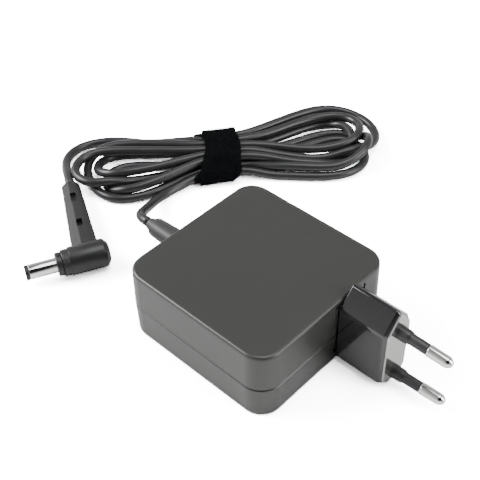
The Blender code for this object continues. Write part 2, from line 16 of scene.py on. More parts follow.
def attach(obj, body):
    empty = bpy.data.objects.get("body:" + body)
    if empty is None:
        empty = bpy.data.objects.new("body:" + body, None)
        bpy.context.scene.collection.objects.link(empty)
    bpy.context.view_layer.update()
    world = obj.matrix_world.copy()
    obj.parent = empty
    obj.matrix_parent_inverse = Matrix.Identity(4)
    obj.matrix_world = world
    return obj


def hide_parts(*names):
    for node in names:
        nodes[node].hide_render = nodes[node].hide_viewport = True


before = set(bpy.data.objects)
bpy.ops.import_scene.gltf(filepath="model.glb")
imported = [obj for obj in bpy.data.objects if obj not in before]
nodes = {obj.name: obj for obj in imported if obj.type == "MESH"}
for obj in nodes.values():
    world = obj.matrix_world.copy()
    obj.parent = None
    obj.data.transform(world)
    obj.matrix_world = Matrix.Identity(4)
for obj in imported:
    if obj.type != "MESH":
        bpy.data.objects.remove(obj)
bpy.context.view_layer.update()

MM = 0.001

# %% [markdown]
# ## The camera
# The camera looks down at the block from in front of one corner. Its place and its three axes are
# written out as a matrix, because a matrix holds the small sideways tilt as well as the direction.

# %% Camera
VIEW_PLACE = (0.13856, -0.15007, 0.22654)
VIEW_RIGHT = (0.72939, 0.68386, -0.01814)
VIEW_UP = (-0.45539, 0.50516, 0.73310)
VIEW_BACK = (0.51050, -0.52645, 0.67988)

camera_data = bpy.data.cameras.new("view")
camera_data.lens = 66.93
camera_data.sensor_width = 36.0
camera = bpy.data.objects.new("view", camera_data)
camera.matrix_world = Matrix((VIEW_RIGHT, VIEW_UP, VIEW_BACK)).transposed().to_4x4()
camera.matrix_world.translation = VIEW_PLACE
bpy.context.scene.collection.objects.link(camera)
bpy.context.scene.camera = camera
print("camera at", [round(v, 3) for v in VIEW_PLACE])

# %% [markdown]
# ## The table and the light
# A product like this is shown on a white table that runs on out of sight. A wide plane does that.
# The light is a pale room, darker overhead than at the horizon, with large soft panels on the left,
# above and on the right, so every edge gets a gentle gradient. The room is dark on the camera's
# side, and rounded edges that face the camera mirror it as a thin dark line. Such a table is
# exposed past white. Here its material does that only for rays that come straight from the camera,
# so the light that it throws back on the adapter stays natural.

# %% Table, room light and panels
def lit_panel(name, place, target, size, power):
    """A rectangular soft light aimed at a point."""
    data = bpy.data.lights.new(name, "AREA")
    data.shape = "RECTANGLE"
    data.size, data.size_y = size
    data.energy = power
    lamp = bpy.data.objects.new(name, data)
    aim = Vector(target) - Vector(place)
    lamp.matrix_world = Matrix.Translation(place) @ aim.to_track_quat("-Z", "Y").to_matrix().to_4x4()
    bpy.context.scene.collection.objects.link(lamp)


def pale_table():
    """A wide white plane under the adapter."""
    corners = [(a * TABLE_HALF, b * TABLE_HALF, 0) for a, b in ((-1, -1), (1, -1), (1, 1), (-1, 1))]
    mesh = bpy.data.meshes.new("table")
    mesh.from_pydata(corners, [], [(0, 1, 2, 3)])
    table = bpy.data.objects.new("table", mesh)
    bpy.context.scene.collection.objects.link(table)
    finish = bpy.data.materials.new("table_white")
    finish.use_nodes = True
    tree = finish.node_tree
    shader = tree.nodes["Principled BSDF"]
    shader.inputs["Base Color"].default_value = (0.90, 0.90, 0.90, 1)
    shader.inputs["Roughness"].default_value = 0.6
    seen = tree.nodes.new("ShaderNodeBsdfDiffuse")
    seen.inputs["Color"].default_value = (TABLE_GLOW, TABLE_GLOW, TABLE_GLOW, 1)
    ray, mix = tree.nodes.new("ShaderNodeLightPath"), tree.nodes.new("ShaderNodeMixShader")
    tree.links.new(ray.outputs["Is Camera Ray"], mix.inputs[0])
    tree.links.new(shader.outputs[0], mix.inputs[1])
    tree.links.new(seen.outputs[0], mix.inputs[2])
    tree.links.new(mix.outputs[0], tree.nodes["Material Output"].inputs["Surface"])
    mesh.materials.append(finish)
    return table


def room_light():
    """A pale room that is brightest near the horizon and dark behind the camera."""
    world = bpy.data.worlds.new("room")
    bpy.context.scene.world = world
    world.use_nodes = True
    tree = world.node_tree
    background = tree.nodes["Background"]
    place = tree.nodes.new("ShaderNodeTexCoord")
    split = tree.nodes.new("ShaderNodeSeparateXYZ")
    ramp = tree.nodes.new("ShaderNodeValToRGB")
    tree.links.new(place.outputs["Generated"], split.inputs[0])
    tree.links.new(split.outputs["Z"], ramp.inputs[0])
    for element, (height, colour) in zip(ramp.color_ramp.elements, ROOM_TONES):
        element.position, element.color = height, colour
    toward = tree.nodes.new("ShaderNodeVectorMath")
    toward.operation = "DOT_PRODUCT"
    toward.inputs[1].default_value = VIEW_BACK
    shade = tree.nodes.new("ShaderNodeMapRange")
    shade.inputs["From Min"].default_value, shade.inputs["From Max"].default_value = DARK_SIDE
    shade.inputs["To Min"].default_value, shade.inputs["To Max"].default_value = ROOM_STRENGTH, DARK_STRENGTH
    tree.links.new(place.outputs["Generated"], toward.inputs[0])
    tree.links.new(toward.outputs["Value"], shade.inputs["Value"])
    tree.links.new(ramp.outputs[0], background.inputs["Color"])
    tree.links.new(shade.outputs[0], background.inputs["Strength"])


TABLE_HALF = 6.0
TABLE_GLOW = 12.0           # how far past white the table is exposed where it is seen directly
ROOM_TONES = ((0.0, (1, 1, 1, 1)), (0.9, (0.30, 0.30, 0.31, 1)))     # at the horizon, and near the zenith
ROOM_STRENGTH, DARK_STRENGTH = 0.9, 0.03
DARK_SIDE = (0.72, 0.93)    # cosines of the angle from the camera's direction: from pale to dark
AIM = (-0.03, 0.02, 0.0)
PANELS = {"left": ((-0.8, -0.5, 0.7), (0.8, 0.6), 22.0), "top": ((0.1, 0.15, 1.1), (0.7, 0.7), 7.0),
          "right": ((0.85, 0.35, 0.5), (0.5, 0.6), 7.0)}
table = pale_table()
room_light()
for side, (place, size, power) in PANELS.items():
    lit_panel("panel_" + side, place, AIM, size, power)
print("table", table.name, "and", len(bpy.data.lights), "panels")

# %% [markdown]
# ## Tools for making meshes
# Nearly every piece here is either a stack of outlines joined ring to ring, or a profile turned
# about an axis. Both end up in the same finishing step: doubles merged, faces turned outwards, and
# smooth shading that breaks at real edges. Pieces with wide flat faces also get normals weighted by
# area, so that a wide flat face stays flat beside its small rounded edge.

# %% Mesh tools
def smooth_between_edges(mesh, edge_angle):
    """Smooth shading that breaks where faces meet at more than an angle."""
    for face in mesh.polygons:
        face.use_smooth = True
    mesh.set_sharp_from_angle(angle=math.radians(edge_angle))


def finished(name, bm, finish, edge_angle=35.0):
    """Turn a bmesh into an object with outward faces and clean shading."""
    bmesh.ops.remove_doubles(bm, verts=bm.verts, dist=1e-7)
    bmesh.ops.recalc_face_normals(bm, faces=bm.faces)
    mesh = bpy.data.meshes.new(name)
    bm.to_mesh(mesh)
    bm.free()
    smooth_between_edges(mesh, edge_angle)
    if finish:
        mesh.materials.append(finish)
    piece = bpy.data.objects.new(name, mesh)
    bpy.context.scene.collection.objects.link(piece)
    return piece


def even_shading(piece):
    """Weight the normals by face area, keeping the sharp edges."""
    weigh = piece.modifiers.new("even shading", "WEIGHTED_NORMAL")
    weigh.keep_sharp = True
    weigh.weight = 100
    return piece


def loft(name, rings, finish, closed=False, edge_angle=35.0):
    """Join outlines of equal length, capping the ends unless the stack closes on itself."""
    bm = bmesh.new()
    made = [[bm.verts.new(p) for p in ring] for ring in rings]
    pairs = list(zip(made, made[1:])) + ([(made[-1], made[0])] if closed else [])
    for a, b in pairs:
        for i in range(len(a)):
            j = (i + 1) % len(a)
            bm.faces.new((a[i], a[j], b[j], b[i]))
    if not closed:
        bm.faces.new(made[0])
        bm.faces.new(made[-1])
    return finished(name, bm, finish, edge_angle)


def turned(name, profile, finish, place=Matrix.Identity(4), segments=64, closed=False, edge_angle=35.0):
    """Turn (along, radius) pairs about the X axis, then put the result in place."""
    bm = bmesh.new()
    rings = []
    for along, radius in profile:
        if radius < 1e-9:
            rings.append([bm.verts.new(place @ Vector((along, 0, 0)))])
            continue
        turn = [2 * math.pi * k / segments for k in range(segments)]
        rings.append([bm.verts.new(place @ Vector((along, radius * math.cos(a), radius * math.sin(a))))
                      for a in turn])
    pairs = list(zip(rings, rings[1:])) + ([(rings[-1], rings[0])] if closed else [])
    for a, b in pairs:
        for k in range(segments):
            n = (k + 1) % segments
            corners = [a[k % len(a)], a[n % len(a)], b[n % len(b)], b[k % len(b)]]
            corners = [v for i, v in enumerate(corners) if v not in corners[:i]]
            if len(corners) > 2:
                bm.faces.new(corners)
    return finished(name, bm, finish, edge_angle)


def rounded(profile, radius, steps=4):
    """Round every inner corner of an open (along, radius) profile that has room for it."""
    points = [Vector(p) for p in profile]
    out = [tuple(points[0])]
    for before, corner, after in zip(points, points[1:], points[2:]):
        back, on = before - corner, after - corner
        reach = min(radius, 0.45 * back.length, 0.45 * on.length)
        start, end = corner + back.normalized() * reach, corner + on.normalized() * reach
        for k in range(steps + 1):
            t = k / steps
            out.append(tuple((1 - t) ** 2 * start + 2 * t * (1 - t) * corner + t ** 2 * end))
    return out + [tuple(points[-1])]


def applied(piece):
    """Replace a piece's mesh by its evaluated one and drop the modifiers."""
    bpy.context.view_layer.update()
    solid = bpy.data.meshes.new_from_object(piece.evaluated_get(bpy.context.evaluated_depsgraph_get()))
    old = piece.data
    piece.modifiers.clear()
    piece.data = solid
    bpy.data.meshes.remove(old)
    solid.name = piece.name
    return piece


def soften(piece, width, steps=3, angle=25.0):
    """Round the edges of a piece with real geometry."""
    bevel = piece.modifiers.new("soft edges", "BEVEL")
    bevel.width, bevel.segments = width, steps
    bevel.limit_method, bevel.angle_limit = "ANGLE", math.radians(angle)
    applied(piece)
    smooth_between_edges(piece.data, angle)
    return piece


def carve(piece, *cutters, edge_angle=35.0):
    """Cut shapes out of a piece, then shade it again."""
    for cutter in cutters:
        cut = piece.modifiers.new("cut", "BOOLEAN")
        cut.operation, cut.solver, cut.object = "DIFFERENCE", "EXACT", cutter
    applied(piece)
    for cutter in cutters:
        bpy.data.meshes.remove(cutter.data)
    smooth_between_edges(piece.data, edge_angle)
    return piece


def slab(name, low, high):
    """A plain block, used only as a cutter."""
    ring = [(low[0], low[1]), (high[0], low[1]), (high[0], high[1]), (low[0], high[1])]
    return loft(name, [[(x, y, z) for x, y in ring] for z in (low[2], high[2])], None)


def about(point, yaw=0.0, tilt=0.0):
    """A placement whose X axis is turned by yaw about Z and tilt about Y."""
    return Matrix.Translation(point) @ Matrix.Rotation(yaw, 4, "Z") @ Matrix.Rotation(tilt, 4, "Y")


print("mesh tools ready")

# %% [markdown]
# ## One grain for every moulded plastic
# Moulded plastic is never one flat colour: it has a spark-eroded grain of about a tenth of a
# millimetre, soft clouds where the gloss changes, and a little dust. These come from one node group
# that each plastic uses with its own sizes and colours. The group gives out a colour, a roughness
# and a height. The shader itself stays in the material, where its constants are set on its own
# sockets. The strap uses the same group with a deep, coarse grain and hardly any gloss, which is
# how a looped cloth looks. The pale plate uses it on a nearly metallic shader, which makes it a
# polished face that mirrors the pins' collars.

# %% Shared groups: moulded grain, and drawn lines for metal
def group_with(name, inputs, outputs):
    """A shader node group with named sockets."""
    tree = bpy.data.node_groups.new(name, "ShaderNodeTree")
    for label, kind, value in inputs:
        socket = tree.interface.new_socket(label, in_out="INPUT", socket_type=kind)
        if value is not None:
            socket.default_value = value
    for label, kind in outputs:
        tree.interface.new_socket(label, in_out="OUTPUT", socket_type=kind)
    return tree, tree.nodes.new("NodeGroupInput"), tree.nodes.new("NodeGroupOutput")


def noise(tree, vector, scale_socket, detail=2.0, scale=None):
    """A noise texture whose scale is one over a size in metres."""
    texture = tree.nodes.new("ShaderNodeTexNoise")
    texture.inputs["Detail"].default_value = detail
    tree.links.new(vector, texture.inputs["Vector"])
    if scale is not None:
        texture.inputs["Scale"].default_value = scale
    else:
        divide = tree.nodes.new("ShaderNodeMath")
        divide.operation = "DIVIDE"
        divide.inputs[0].default_value = 1.0
        tree.links.new(scale_socket, divide.inputs[1])
        tree.links.new(divide.outputs[0], texture.inputs["Scale"])
    return texture


def remap(tree, value, low, high, to_low, to_high):
    """Map Range, with sockets or numbers for the target range."""
    node = tree.nodes.new("ShaderNodeMapRange")
    tree.links.new(value, node.inputs["Value"])
    node.inputs["From Min"].default_value, node.inputs["From Max"].default_value = low, high
    for socket, target in (("To Min", to_low), ("To Max", to_high)):
        if isinstance(target, (int, float)):
            node.inputs[socket].default_value = target
        else:
            tree.links.new(target, node.inputs[socket])
    return node.outputs[0]


def blend_colours(tree, factor, a, b):
    """Mix two colour sockets by a factor socket."""
    mix = tree.nodes.new("ShaderNodeMix")
    mix.data_type = "RGBA"
    tree.links.new(factor, mix.inputs["Factor"])
    tree.links.new(a, mix.inputs["A"])
    tree.links.new(b, mix.inputs["B"])
    return mix.outputs["Result"]


def moulded_grain_group():
    """Colour, roughness and height of a moulded plastic skin."""
    tree, source, out = group_with(
        "moulded grain",
        [("Vector", "NodeSocketVector", None), ("Grain Size", "NodeSocketFloat", 0.0002),
         ("Cloud Size", "NodeSocketFloat", 0.02), ("Colour", "NodeSocketColor", None),
         ("Cloud Colour", "NodeSocketColor", None), ("Dust Colour", "NodeSocketColor", None),
         ("Smooth Roughness", "NodeSocketFloat", 0.4), ("Rough Roughness", "NodeSocketFloat", 0.5)],
        [("Colour", "NodeSocketColor"), ("Roughness", "NodeSocketFloat"), ("Height", "NodeSocketFloat")])
    grain = noise(tree, source.outputs["Vector"], source.outputs["Grain Size"], 3.0)
    cloud = noise(tree, source.outputs["Vector"], source.outputs["Cloud Size"], 4.0)
    speck = noise(tree, source.outputs["Vector"], None, 6.0, scale=900.0)
    cloud_mask = remap(tree, cloud.outputs["Fac"], 0.1, 0.9, 0.0, 1.0)
    dust_mask = remap(tree, speck.outputs["Fac"], 0.70, 0.78, 0.0, 0.18)
    tone = blend_colours(tree, cloud_mask, source.outputs["Colour"], source.outputs["Cloud Colour"])
    dusted = blend_colours(tree, dust_mask, tone, source.outputs["Dust Colour"])
    gloss = remap(tree, cloud.outputs["Fac"], 0.1, 0.9, source.outputs["Smooth Roughness"],
                  source.outputs["Rough Roughness"])
    tree.links.new(dusted, out.inputs["Colour"])
    tree.links.new(gloss, out.inputs["Roughness"])
    tree.links.new(grain.outputs["Fac"], out.inputs["Height"])
    return tree


def drawn_metal_group():
    """Roughness and height of a plated part with fine lines along X."""
    tree, source, out = group_with(
        "drawn metal",
        [("Vector", "NodeSocketVector", None), ("Line Width", "NodeSocketFloat", 0.0001),
         ("Colour", "NodeSocketColor", None), ("Tarnish", "NodeSocketColor", None),
         ("Bright Roughness", "NodeSocketFloat", 0.12), ("Dull Roughness", "NodeSocketFloat", 0.3)],
        [("Colour", "NodeSocketColor"), ("Roughness", "NodeSocketFloat"), ("Height", "NodeSocketFloat")])
    stretch = tree.nodes.new("ShaderNodeMapping")
    stretch.inputs["Scale"].default_value = (0.06, 1.0, 1.0)
    tree.links.new(source.outputs["Vector"], stretch.inputs["Vector"])
    lines = noise(tree, stretch.outputs[0], source.outputs["Line Width"], 3.0)
    blotch = noise(tree, source.outputs["Vector"], None, 3.0, scale=350.0)
    mask = remap(tree, blotch.outputs["Fac"], 0.45, 0.7, 0.0, 1.0)
    tree.links.new(blend_colours(tree, mask, source.outputs["Colour"], source.outputs["Tarnish"]),
                   out.inputs["Colour"])
    tree.links.new(remap(tree, lines.outputs["Fac"], 0.3, 0.7, source.outputs["Bright Roughness"],
                         source.outputs["Dull Roughness"]), out.inputs["Roughness"])
    tree.links.new(lines.outputs["Fac"], out.inputs["Height"])
    return tree


GRAIN = moulded_grain_group()
DRAWN = drawn_metal_group()
print("groups:", GRAIN.name, "and", DRAWN.name)

# %% Finishes made from the groups
def start_finish(name, group, depth, values, metallic=0.0, **constants):
    """A material whose shader takes colour, roughness and bump from a group with its own values."""
    finish = bpy.data.materials.new(name)
    finish.use_nodes = True
    tree = finish.node_tree
    shader = tree.nodes["Principled BSDF"]
    shader.inputs["Metallic"].default_value = metallic
    for label, value in constants.items():
        shader.inputs[label.replace("_", " ")].default_value = value
    place = tree.nodes.new("ShaderNodeTexCoord")
    skin = tree.nodes.new("ShaderNodeGroup")
    skin.node_tree = group
    for label, value in values.items():
        skin.inputs[label].default_value = (*value, 1) if isinstance(value, tuple) else value
    bump = tree.nodes.new("ShaderNodeBump")
    bump.inputs["Distance"].default_value = depth
    tree.links.new(place.outputs["Object"], skin.inputs["Vector"])
    tree.links.new(skin.outputs["Colour"], shader.inputs["Base Color"])
    tree.links.new(skin.outputs["Roughness"], shader.inputs["Roughness"])
    tree.links.new(skin.outputs["Height"], bump.inputs["Height"])
    tree.links.new(bump.outputs["Normal"], shader.inputs["Normal"])
    return finish


def plastic(name, colour, cloud, roughness, grain=0.0002, depth=0.00001, clouds=0.02,
            dust=(0.16, 0.16, 0.15), **constants):
    """A moulded plastic or a cloth: two close colours, a range of roughness and a grain size."""
    return start_finish(name, GRAIN, depth, {
        "Colour": colour, "Cloud Colour": cloud, "Dust Colour": dust, "Grain Size": grain,
        "Cloud Size": clouds, "Smooth Roughness": roughness[0], "Rough Roughness": roughness[1]}, **constants)


def metal(name, colour, tarnish, roughness, lines=0.0001, depth=0.000002):
    """A plated or drawn metal."""
    return start_finish(name, DRAWN, depth, {
        "Colour": colour, "Tarnish": tarnish, "Line Width": lines, "Bright Roughness": roughness[0],
        "Dull Roughness": roughness[1]}, metallic=1.0)


# Each: colour, cloud colour, least and most roughness, and what differs from a common plastic
PLASTICS = {
    "face_plate_grey": ((0.56, 0.56, 0.54), (0.60, 0.60, 0.58), (0.05, 0.10),
                        dict(grain=0.0009, depth=0.0000015, clouds=0.01, dust=(0.4, 0.4, 0.38),
                             metallic=0.93)),
    "housing_black": ((0.0325, 0.034, 0.031), (0.0345, 0.036, 0.033), (0.28, 0.30),
                      dict(grain=0.00022, clouds=0.03)),
    "plug_head_black": ((0.007, 0.007, 0.008), (0.010, 0.010, 0.011), (0.04, 0.07),
                        dict(grain=0.0008, depth=0.0000006, clouds=0.012, IOR=1.8)),
    "pin_sleeve_black": ((0.020, 0.020, 0.021), (0.028, 0.028, 0.029), (0.24, 0.34),
                         dict(grain=0.0003, depth=0.000006, clouds=0.006)),
    "cord_black": ((0.018, 0.018, 0.019), (0.024, 0.024, 0.025), (0.28, 0.36),
                   dict(grain=0.00035, clouds=0.01)),
    "boot_grey": ((0.034, 0.034, 0.035), (0.042, 0.042, 0.042), (0.44, 0.52),
                  dict(grain=0.0003, depth=0.000006, clouds=0.01)),
    "dc_plug_black": ((0.012, 0.012, 0.013), (0.018, 0.018, 0.019), (0.32, 0.40),
                      dict(grain=0.00035, depth=0.000008, clouds=0.01)),
    "tip_ring_black": ((0.012, 0.012, 0.012), (0.02, 0.02, 0.02), (0.3, 0.4), dict(clouds=0.004)),
    "strap_fabric": ((0.0022, 0.0023, 0.0028), (0.006, 0.007, 0.007), (0.85, 1.0),
                     dict(grain=0.0006, depth=0.00025, clouds=0.003, dust=(0.012, 0.012, 0.013),
                          Specular_IOR_Level=0.03)),
    "board_laminate": ((0.05, 0.20, 0.08), (0.04, 0.16, 0.06), (0.35, 0.5), dict(clouds=0.008)),
    "insulation_film": ((0.70, 0.70, 0.64), (0.62, 0.62, 0.56), (0.3, 0.45), {}),
    "fuse_ceramic": ((0.80, 0.77, 0.68), (0.72, 0.69, 0.6), (0.3, 0.4), dict(clouds=0.004)),
    "capacitor_box_yellow": ((0.80, 0.58, 0.08), (0.74, 0.52, 0.06), (0.35, 0.5), dict(clouds=0.006)),
    "component_black": ((0.02, 0.02, 0.022), (0.03, 0.03, 0.032), (0.4, 0.55), dict(clouds=0.004)),
    "capacitor_sleeve": ((0.03, 0.05, 0.16), (0.04, 0.06, 0.2), (0.28, 0.4), dict(clouds=0.006)),
    "ferrite": ((0.045, 0.045, 0.05), (0.06, 0.06, 0.065), (0.6, 0.8), dict(clouds=0.003)),
    "winding_tape": ((0.78, 0.58, 0.10), (0.7, 0.5, 0.08), (0.3, 0.45), dict(clouds=0.005)),
    "disc_capacitor_blue": ((0.05, 0.22, 0.48), (0.04, 0.18, 0.4), (0.3, 0.5), dict(clouds=0.003)),
    "wire_red": ((0.55, 0.03, 0.03), (0.45, 0.02, 0.02), (0.35, 0.5), {}),
    "wire_black": ((0.02, 0.02, 0.02), (0.03, 0.03, 0.03), (0.35, 0.5), {}),
}
# Each: colour, tarnished colour, least and most roughness
METALS = {
    "nickel_plate": ((0.93, 0.92, 0.90), (0.84, 0.83, 0.80), (0.05, 0.11)),
    "contact_brass": ((0.78, 0.57, 0.24), (0.55, 0.38, 0.15), (0.2, 0.35)),
    "copper_wire": ((0.72, 0.30, 0.12), (0.5, 0.2, 0.08), (0.2, 0.4)),
    "heat_sink_aluminium": ((0.66, 0.67, 0.69), (0.5, 0.5, 0.52), (0.25, 0.45)),
}
FINISHES = {name: plastic(name, *look, **rest) for name, (*look, rest) in PLASTICS.items()}
FINISHES.update({name: metal(name, *look) for name, look in METALS.items()})
print(len(FINISHES), "finishes")

# %% [markdown]
# ## The lead: one length of cord, folded into a hank
# The lead leaves the strain relief, drops to the table, runs under the strap and is folded back and
# forth nine times before its last stretch goes to the DC plug. It is one cord, so it is one route.
# The two loose ends and the folds are laid down as a few points each. Between folds the cord passes
# under the strap in two layers, and those places come from a small table of slots.

# %% Where the cord lies
CORD_DIAMETER = 3.6
HANK_CENTRE = (-68.0, 55.0)
HANK_YAW = math.radians(54.0)
STRAP_FROM, STRAP_TO = -9.0, 8.0
LOW_LAYER, HIGH_LAYER = 3.5, 7.15

LEAD_IN_ROUTE = [(-52.5, 0.0, 13.1), (-56.2, 0.4, 12.7), (-60.2, 2.9, 10.5), (-63.5, 7.2, 7.6),
                 (-66.9, 12.9, 4.7), (-69.1, 18.6, 2.9), (-69.6, 25.3, 2.3), (-68.7, 31.8, 2.5),
                 (-67.2, 37.3, 3.4)]
LEAD_OUT_ROUTE = [(-98.7, 39.2, 3.6), (-105.0, 36.4, 2.9), (-111.2, 32.6, 2.2), (-116.4, 26.6, 2.0),
                  (-118.6, 19.2, 2.0), (-116.6, 12.4, 2.3), (-111.2, 7.4, 3.2), (-105.2, 3.6, 4.5),
                  (-99.3, 0.1, 5.3)]

# Each pass under the strap: how far across the hank, and its layer
PASSES = [(-10.9, LOW_LAYER), (-3.5, LOW_LAYER), (1.4, HIGH_LAYER), (5.1, HIGH_LAYER), (-7.2, LOW_LAYER),
          (0.2, LOW_LAYER), (-6.0, HIGH_LAYER), (3.9, LOW_LAYER), (-2.3, HIGH_LAYER), (8.8, HIGH_LAYER - 0.3)]

# The folds between passes, as (along, across, height); the first is on the right, the next on the left
FOLDS = [
    [(20.1, -14.6, 2.2), (30, -17.6, 2), (38.5, -19.4, 2), (46.2, -19.4, 2), (52.6, -16.6, 2),
     (56.6, -11.6, 2), (57.4, -5.6, 2), (55.2, 0.2, 2), (50.5, 3.4, 2), (44, 3.6, 2), (36, 2.0, 2),
     (24, -0.6, 2.4)],
    [(-20, -5.2, 2.2), (-30, -6.4, 2.8), (-38, -7.8, 4.0), (-46, -9.4, 5.4), (-51.5, -10.1, 5.8),
     (-58.2, -7.2, 6.1), (-60.9, -0.6, 6.4), (-58.2, 6.0, 6.7), (-51.5, 8.9, 7), (-45, 8.7, 7),
     (-38, 7.4, 7), (-27.6, 5.4, 7)],
    [(20, -1.2, 6.6), (30, -4.6, 6.2), (39, -7.0, 6.2), (48, -6.8, 6.2), (55.5, -3.4, 6.2),
     (59.3, 2.4, 6.2), (57.8, 8.6, 6), (52.3, 12.8, 5.8), (43.0, 14.6, 5.8), (32, 12.2, 6.2),
     (20.3, 7.6, 6.7)],
    [(-19, 9.0, 6.6), (-28.6, 11.4, 6), (-42.2, 13.6, 6), (-49.0, 13.0, 5.8), (-53.6, 10.4, 4.8),
     (-55.4, 5.0, 3.0), (-55.2, -1, 2.2), (-53.4, -6.8, 2), (-50.4, -11.4, 2), (-46.6, -14.6, 2),
     (-41.0, -16.0, 2), (-34.1, -15.4, 2), (-26.3, -13.3, 2), (-17, -10.0, 2.6)],
    [(15, -10.4, 4.2), (24.4, -13.6, 5.2), (34.4, -16.6, 5.2), (43.1, -17.8, 5.0), (51.8, -15.2, 6.0),
     (57.4, -9.8, 7.8), (59.2, -3.6, 6.4), (57.2, 2.6, 4.0), (52.2, 6.8, 2), (46, 8.0, 2),
     (36.9, 7.0, 2), (27.9, 4.4, 2)],
    [(-20, 0.2, 2.2), (-28, 1.6, 2), (-34, 2.9, 2), (-40.5, 3.9, 2), (-47.0, 1.2, 2), (-49.8, -5.2, 2.2),
     (-47.0, -11.6, 3.0), (-40.5, -14.4, 4.4), (-34, -13.6, 5.2), (-26.1, -11.4, 6.0), (-17, -8.4, 6.6)],
    [(18, -8.8, 5.6), (29.5, -11.0, 4.4), (40, -12.2, 3.8), (48.2, -10.4, 3.4), (53.2, -4.8, 3.0),
     (54.6, 2.0, 3.0), (53.4, 9.0, 3.0), (48.5, 13.4, 2.6), (42.3, 14.3, 2.6), (32, 11.4, 2.8),
     (21.1, 7.4, 3)],
    [(-20, 8.0, 2.4), (-28, 9.2, 2), (-35, 10.8, 2), (-42.8, 11.7, 2), (-49.4, 9.0, 2.6),
     (-52.1, 2.6, 3.8), (-49.4, -3.8, 5.4), (-42.8, -6.5, 6.4), (-36, -6.2, 6.8), (-28, -5.2, 7),
     (-20.9, -4.2, 7)],
    [(16, -4.4, 6.0), (26.6, -7.4, 4.6), (37.3, -9.8, 3.6), (47.2, -10.0, 3.8), (56.3, -7.4, 5.4),
     (62.2, -3.0, 4.4), (64.9, 2.4, 3.4), (64.4, 8.6, 3.4), (60.9, 14.8, 4), (53.8, 19.8, 5),
     (45.3, 20.8, 6), (36, 18.4, 6.5), (27.4, 14.9, 7), (17, 11.2, 7)],
]


def on_hank(along, across, z):
    """World place, in millimetres, from a place along and across the hank."""
    c, s = math.cos(HANK_YAW), math.sin(HANK_YAW)
    return (HANK_CENTRE[0] + along * c - across * s, HANK_CENTRE[1] + along * s + across * c, z)


def whole_route():
    """Every laid point of the lead, from the strain relief to the DC plug."""
    route = list(LEAD_IN_ROUTE)
    for turn, (across, z) in enumerate(PASSES):
        ends = (STRAP_FROM, 0.0, STRAP_TO) if turn % 2 == 0 else (STRAP_TO, 0.0, STRAP_FROM)
        route += [on_hank(along, across, z) for along in ends]
        if turn < len(FOLDS):
            route += [on_hank(*p) for p in FOLDS[turn]]
    return np.array(route + [on_hank(-19.5, 11.6, 5.4)] + LEAD_OUT_ROUTE)


print("laid points:", len(whole_route()))

# %% [markdown]
# A smooth curve through laid points still lets strands run through each other. The real cord pushes
# its neighbours aside, lies on the table and dislikes sharp bends. The next cell works that out: it
# looks for places where two strands are closer than one diameter, moves them apart, and solves one
# linear system in which stiffness, the laid points and the contacts each have a weight. There is
# nothing random in it, so the lead comes out the same every time. Where the lead still bends too
# tightly, it is made stiffer and solved again.

# %% Smooth the route and let the strands settle
SETTLE_SPACING = 2.4
SETTLE_ROUNDS = 90
BEND_STIFFNESS = 0.8
LEAST_BEND = 9.0           # where the cord bends tighter than this, it is made stiffer
CONTACT_WEIGHT = 4.0
TOUCH_GAP = 0.08           # kept between strands
TABLE_GAP = 0.02           # kept under the lowest strands
# How firmly the cord is held to its laid route: in the loops, under the strap, near the two ends, and at them
LOOP_HOLD, STRAP_HOLD, LOOSE_END_HOLD, FIXED_HOLD = 0.06, 0.6, 0.4, 50.0
FIRST_END, LAST_END = 52, 78     # millimetres of cord held at the block and at the DC plug


def smooth_route(points, spacing):
    """Even points along a centripetal Catmull-Rom curve."""
    padded = np.vstack([2 * points[0] - points[1], points, 2 * points[-1] - points[-2]])
    dense = []
    for a, b, c, d in zip(padded, padded[1:], padded[2:], padded[3:]):
        t1 = np.linalg.norm(b - a) ** 0.5
        t2 = t1 + np.linalg.norm(c - b) ** 0.5
        t3 = t2 + np.linalg.norm(d - c) ** 0.5
        t = (t1 + np.linspace(0, 1, 24, endpoint=False) * (t2 - t1))[:, None]
        ab = (t1 - t) / t1 * a + t / t1 * b
        bc = (t2 - t) / (t2 - t1) * b + (t - t1) / (t2 - t1) * c
        cd = (t3 - t) / (t3 - t2) * c + (t - t2) / (t3 - t2) * d
        abc = (t2 - t) / t2 * ab + t / t2 * bc
        bcd = (t3 - t) / (t3 - t1) * bc + (t - t1) / (t3 - t1) * cd
        dense.append((t2 - t) / (t2 - t1) * abc + (t - t1) / (t2 - t1) * bcd)
    dense = np.vstack(dense + [points[-1:]])
    run = np.r_[0, np.cumsum(np.linalg.norm(np.diff(dense, axis=0), axis=1))]
    even = np.linspace(0, run[-1], int(round(run[-1] / spacing)) + 1)
    return np.stack([np.interp(even, run, dense[:, i]) for i in range(3)], axis=1)


def hank_place(points):
    """How far along and across the hank each point is."""
    c, s = math.cos(HANK_YAW), math.sin(HANK_YAW)
    x, y = points[:, 0] - HANK_CENTRE[0], points[:, 1] - HANK_CENTRE[1]
    return x * c + y * s, -x * s + y * c


